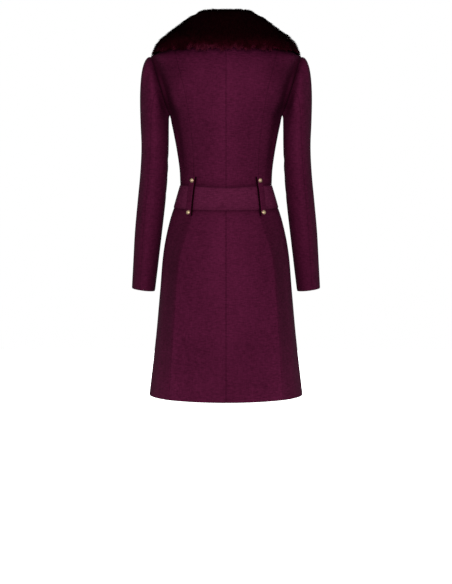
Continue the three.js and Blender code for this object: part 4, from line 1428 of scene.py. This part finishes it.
def growFur(part):
    name, node = namesOf(part["words"])
    points, normal, flow, across, at = collarPelt(part)
    rows, columns = points.shape[:2]
    faces = gridFaces(np.arange(rows * columns).reshape(rows, columns))
    first = points.reshape(-1, 3)[faces[0]]
    if np.cross(first[1] - first[0], first[2] - first[0]) @ normal.reshape(-1, 3)[faces[0][0]] < 0:
        faces = faces[:, ::-1]
    face = meshObject(f"{name}Face", points.reshape(-1, 3), faces, sharp=180)
    for told, values in growthOver(part, flow, across, at).items():
        kind, key = ("FLOAT_VECTOR", "vector") if told == "flow" else ("FLOAT", "value")
        attribute = face.data.attributes.new(told, kind, "POINT")
        attribute.data.foreach_set(key, np.ascontiguousarray(values, np.float32).reshape(-1))
    area = sum(polygon.area for polygon in face.data.polygons)
    modifier = face.modifiers.new("hairs", "NODES")
    modifier.node_group = furTree
    values = {**hairInputs, "Hairs per square metre": part["hairs"] / area, "Seed": part["seed"]}
    for item in furTree.interface.items_tree:
        if item.in_out == "INPUT" and item.name in values:
            modifier[item.identifier] = values[item.name]
    bpy.context.view_layer.update()
    evaluated = face.evaluated_get(bpy.context.evaluated_depsgraph_get())
    mesh = bpy.data.meshes.new_from_object(evaluated)
    hairs = linked(f"{name}Hair", mesh)
    for extra in ("flow", "red", "reach", "redness", "along", "side"):
        if extra in mesh.attributes:
            mesh.attributes.remove(mesh.attributes[extra])
    under = closedWall(f"{name}Pelt", points, points - normal * pelt["wall"])
    bpy.data.objects.remove(face)
    handOver(under, node, peltFinish)
    handOver(hairs, node)
    print(f"{name}: pelt {area:.4f} square metres, {len(mesh.polygons)} hair faces")


for part in furParts:
    growFur(part)
print("fur grown")

# Floor, light and camera. A wide light mirrored at a low angle would whiten the sides of the cloth, so the
# fill isn't mirrored and the surround only a little
studio = {
    "floorLevel": -1.47,
    "floorHalf": 5.0,
    "white": (1.0, 1.0, 1.0),
    "mirrored": 0.10,
    "ambient": 0.32,
    "cameraPlace": (0.0, 4.6, -0.244),
    "aim": (0.0, 0.0, -0.6745),
    "sensor": 36.0,
    "frameHeight": 1.559,
}
lights = [
    {"name": "keyLight", "place": (0.0, 5.2, 0.5), "size": 1.6, "power": 137.0, "mirrored": True},
    {"name": "frontFill", "place": (0.0, -5.2, 0.8), "size": 2.4, "power": 115.0, "mirrored": False},
    {"name": "frontGlint", "place": (-0.9, -4.6, 0.9), "size": 0.8, "power": 40.0, "mirrored": True},
]


half = studio["floorHalf"]
floorLevel = studio["floorLevel"]
floorCorners = np.array([(x * half, y * half, floorLevel) for x, y in ((-1, -1), (1, -1), (1, 1), (-1, 1))])
floor = meshObject("floor", floorCorners, [(0, 1, 2, 3)])
floor.data.materials.append(principled("palePaper", grainLook, paper))
floor.visible_diffuse = False
floor.visible_glossy = False


def aimed(name, data, place):
    made = linked(name, data)
    made.location = place
    made.rotation_euler = (Vector(studio["aim"]) - Vector(place)).to_track_quat("-Z", "Y").to_euler()
    return made


for light in lights:
    data = bpy.data.lights.new(light["name"], "AREA")
    data.shape = "SQUARE"
    data.size = light["size"]
    data.energy = light["power"]
    aimed(light["name"], data, light["place"]).visible_glossy = light["mirrored"]

world = bpy.data.worlds.new("whiteSurround")
bpy.context.scene.world = world
world.use_nodes = True
world.node_tree.nodes.clear()
wire = Wire(world.node_tree)
ray = wire.node("ShaderNodeLightPath")
onCloth = ray.output("Is Diffuse Ray") * (studio["ambient"] - studio["mirrored"]) + studio["mirrored"]
around, behind = (
    wire.node("ShaderNodeBackground", {"Color": rgba(studio["white"]), "Strength": strength})
    for strength in (onCloth, 1.0)
)
seen = wire.node("ShaderNodeMixShader", {0: ray.output("Is Camera Ray"), 1: around, 2: behind})
wire.surface(seen, "ShaderNodeOutputWorld")

cameraData = bpy.data.cameras.new("camera")
cameraData.sensor_fit = "AUTO"
cameraData.sensor_width = studio["sensor"]
distance = (Vector(studio["aim"]) - Vector(studio["cameraPlace"])).length
cameraData.lens = studio["sensor"] * distance / studio["frameHeight"]
bpy.context.scene.camera = aimed("camera", cameraData, studio["cameraPlace"])
bpy.context.scene.view_settings.view_transform = "Standard"
print("floor, light and camera set")
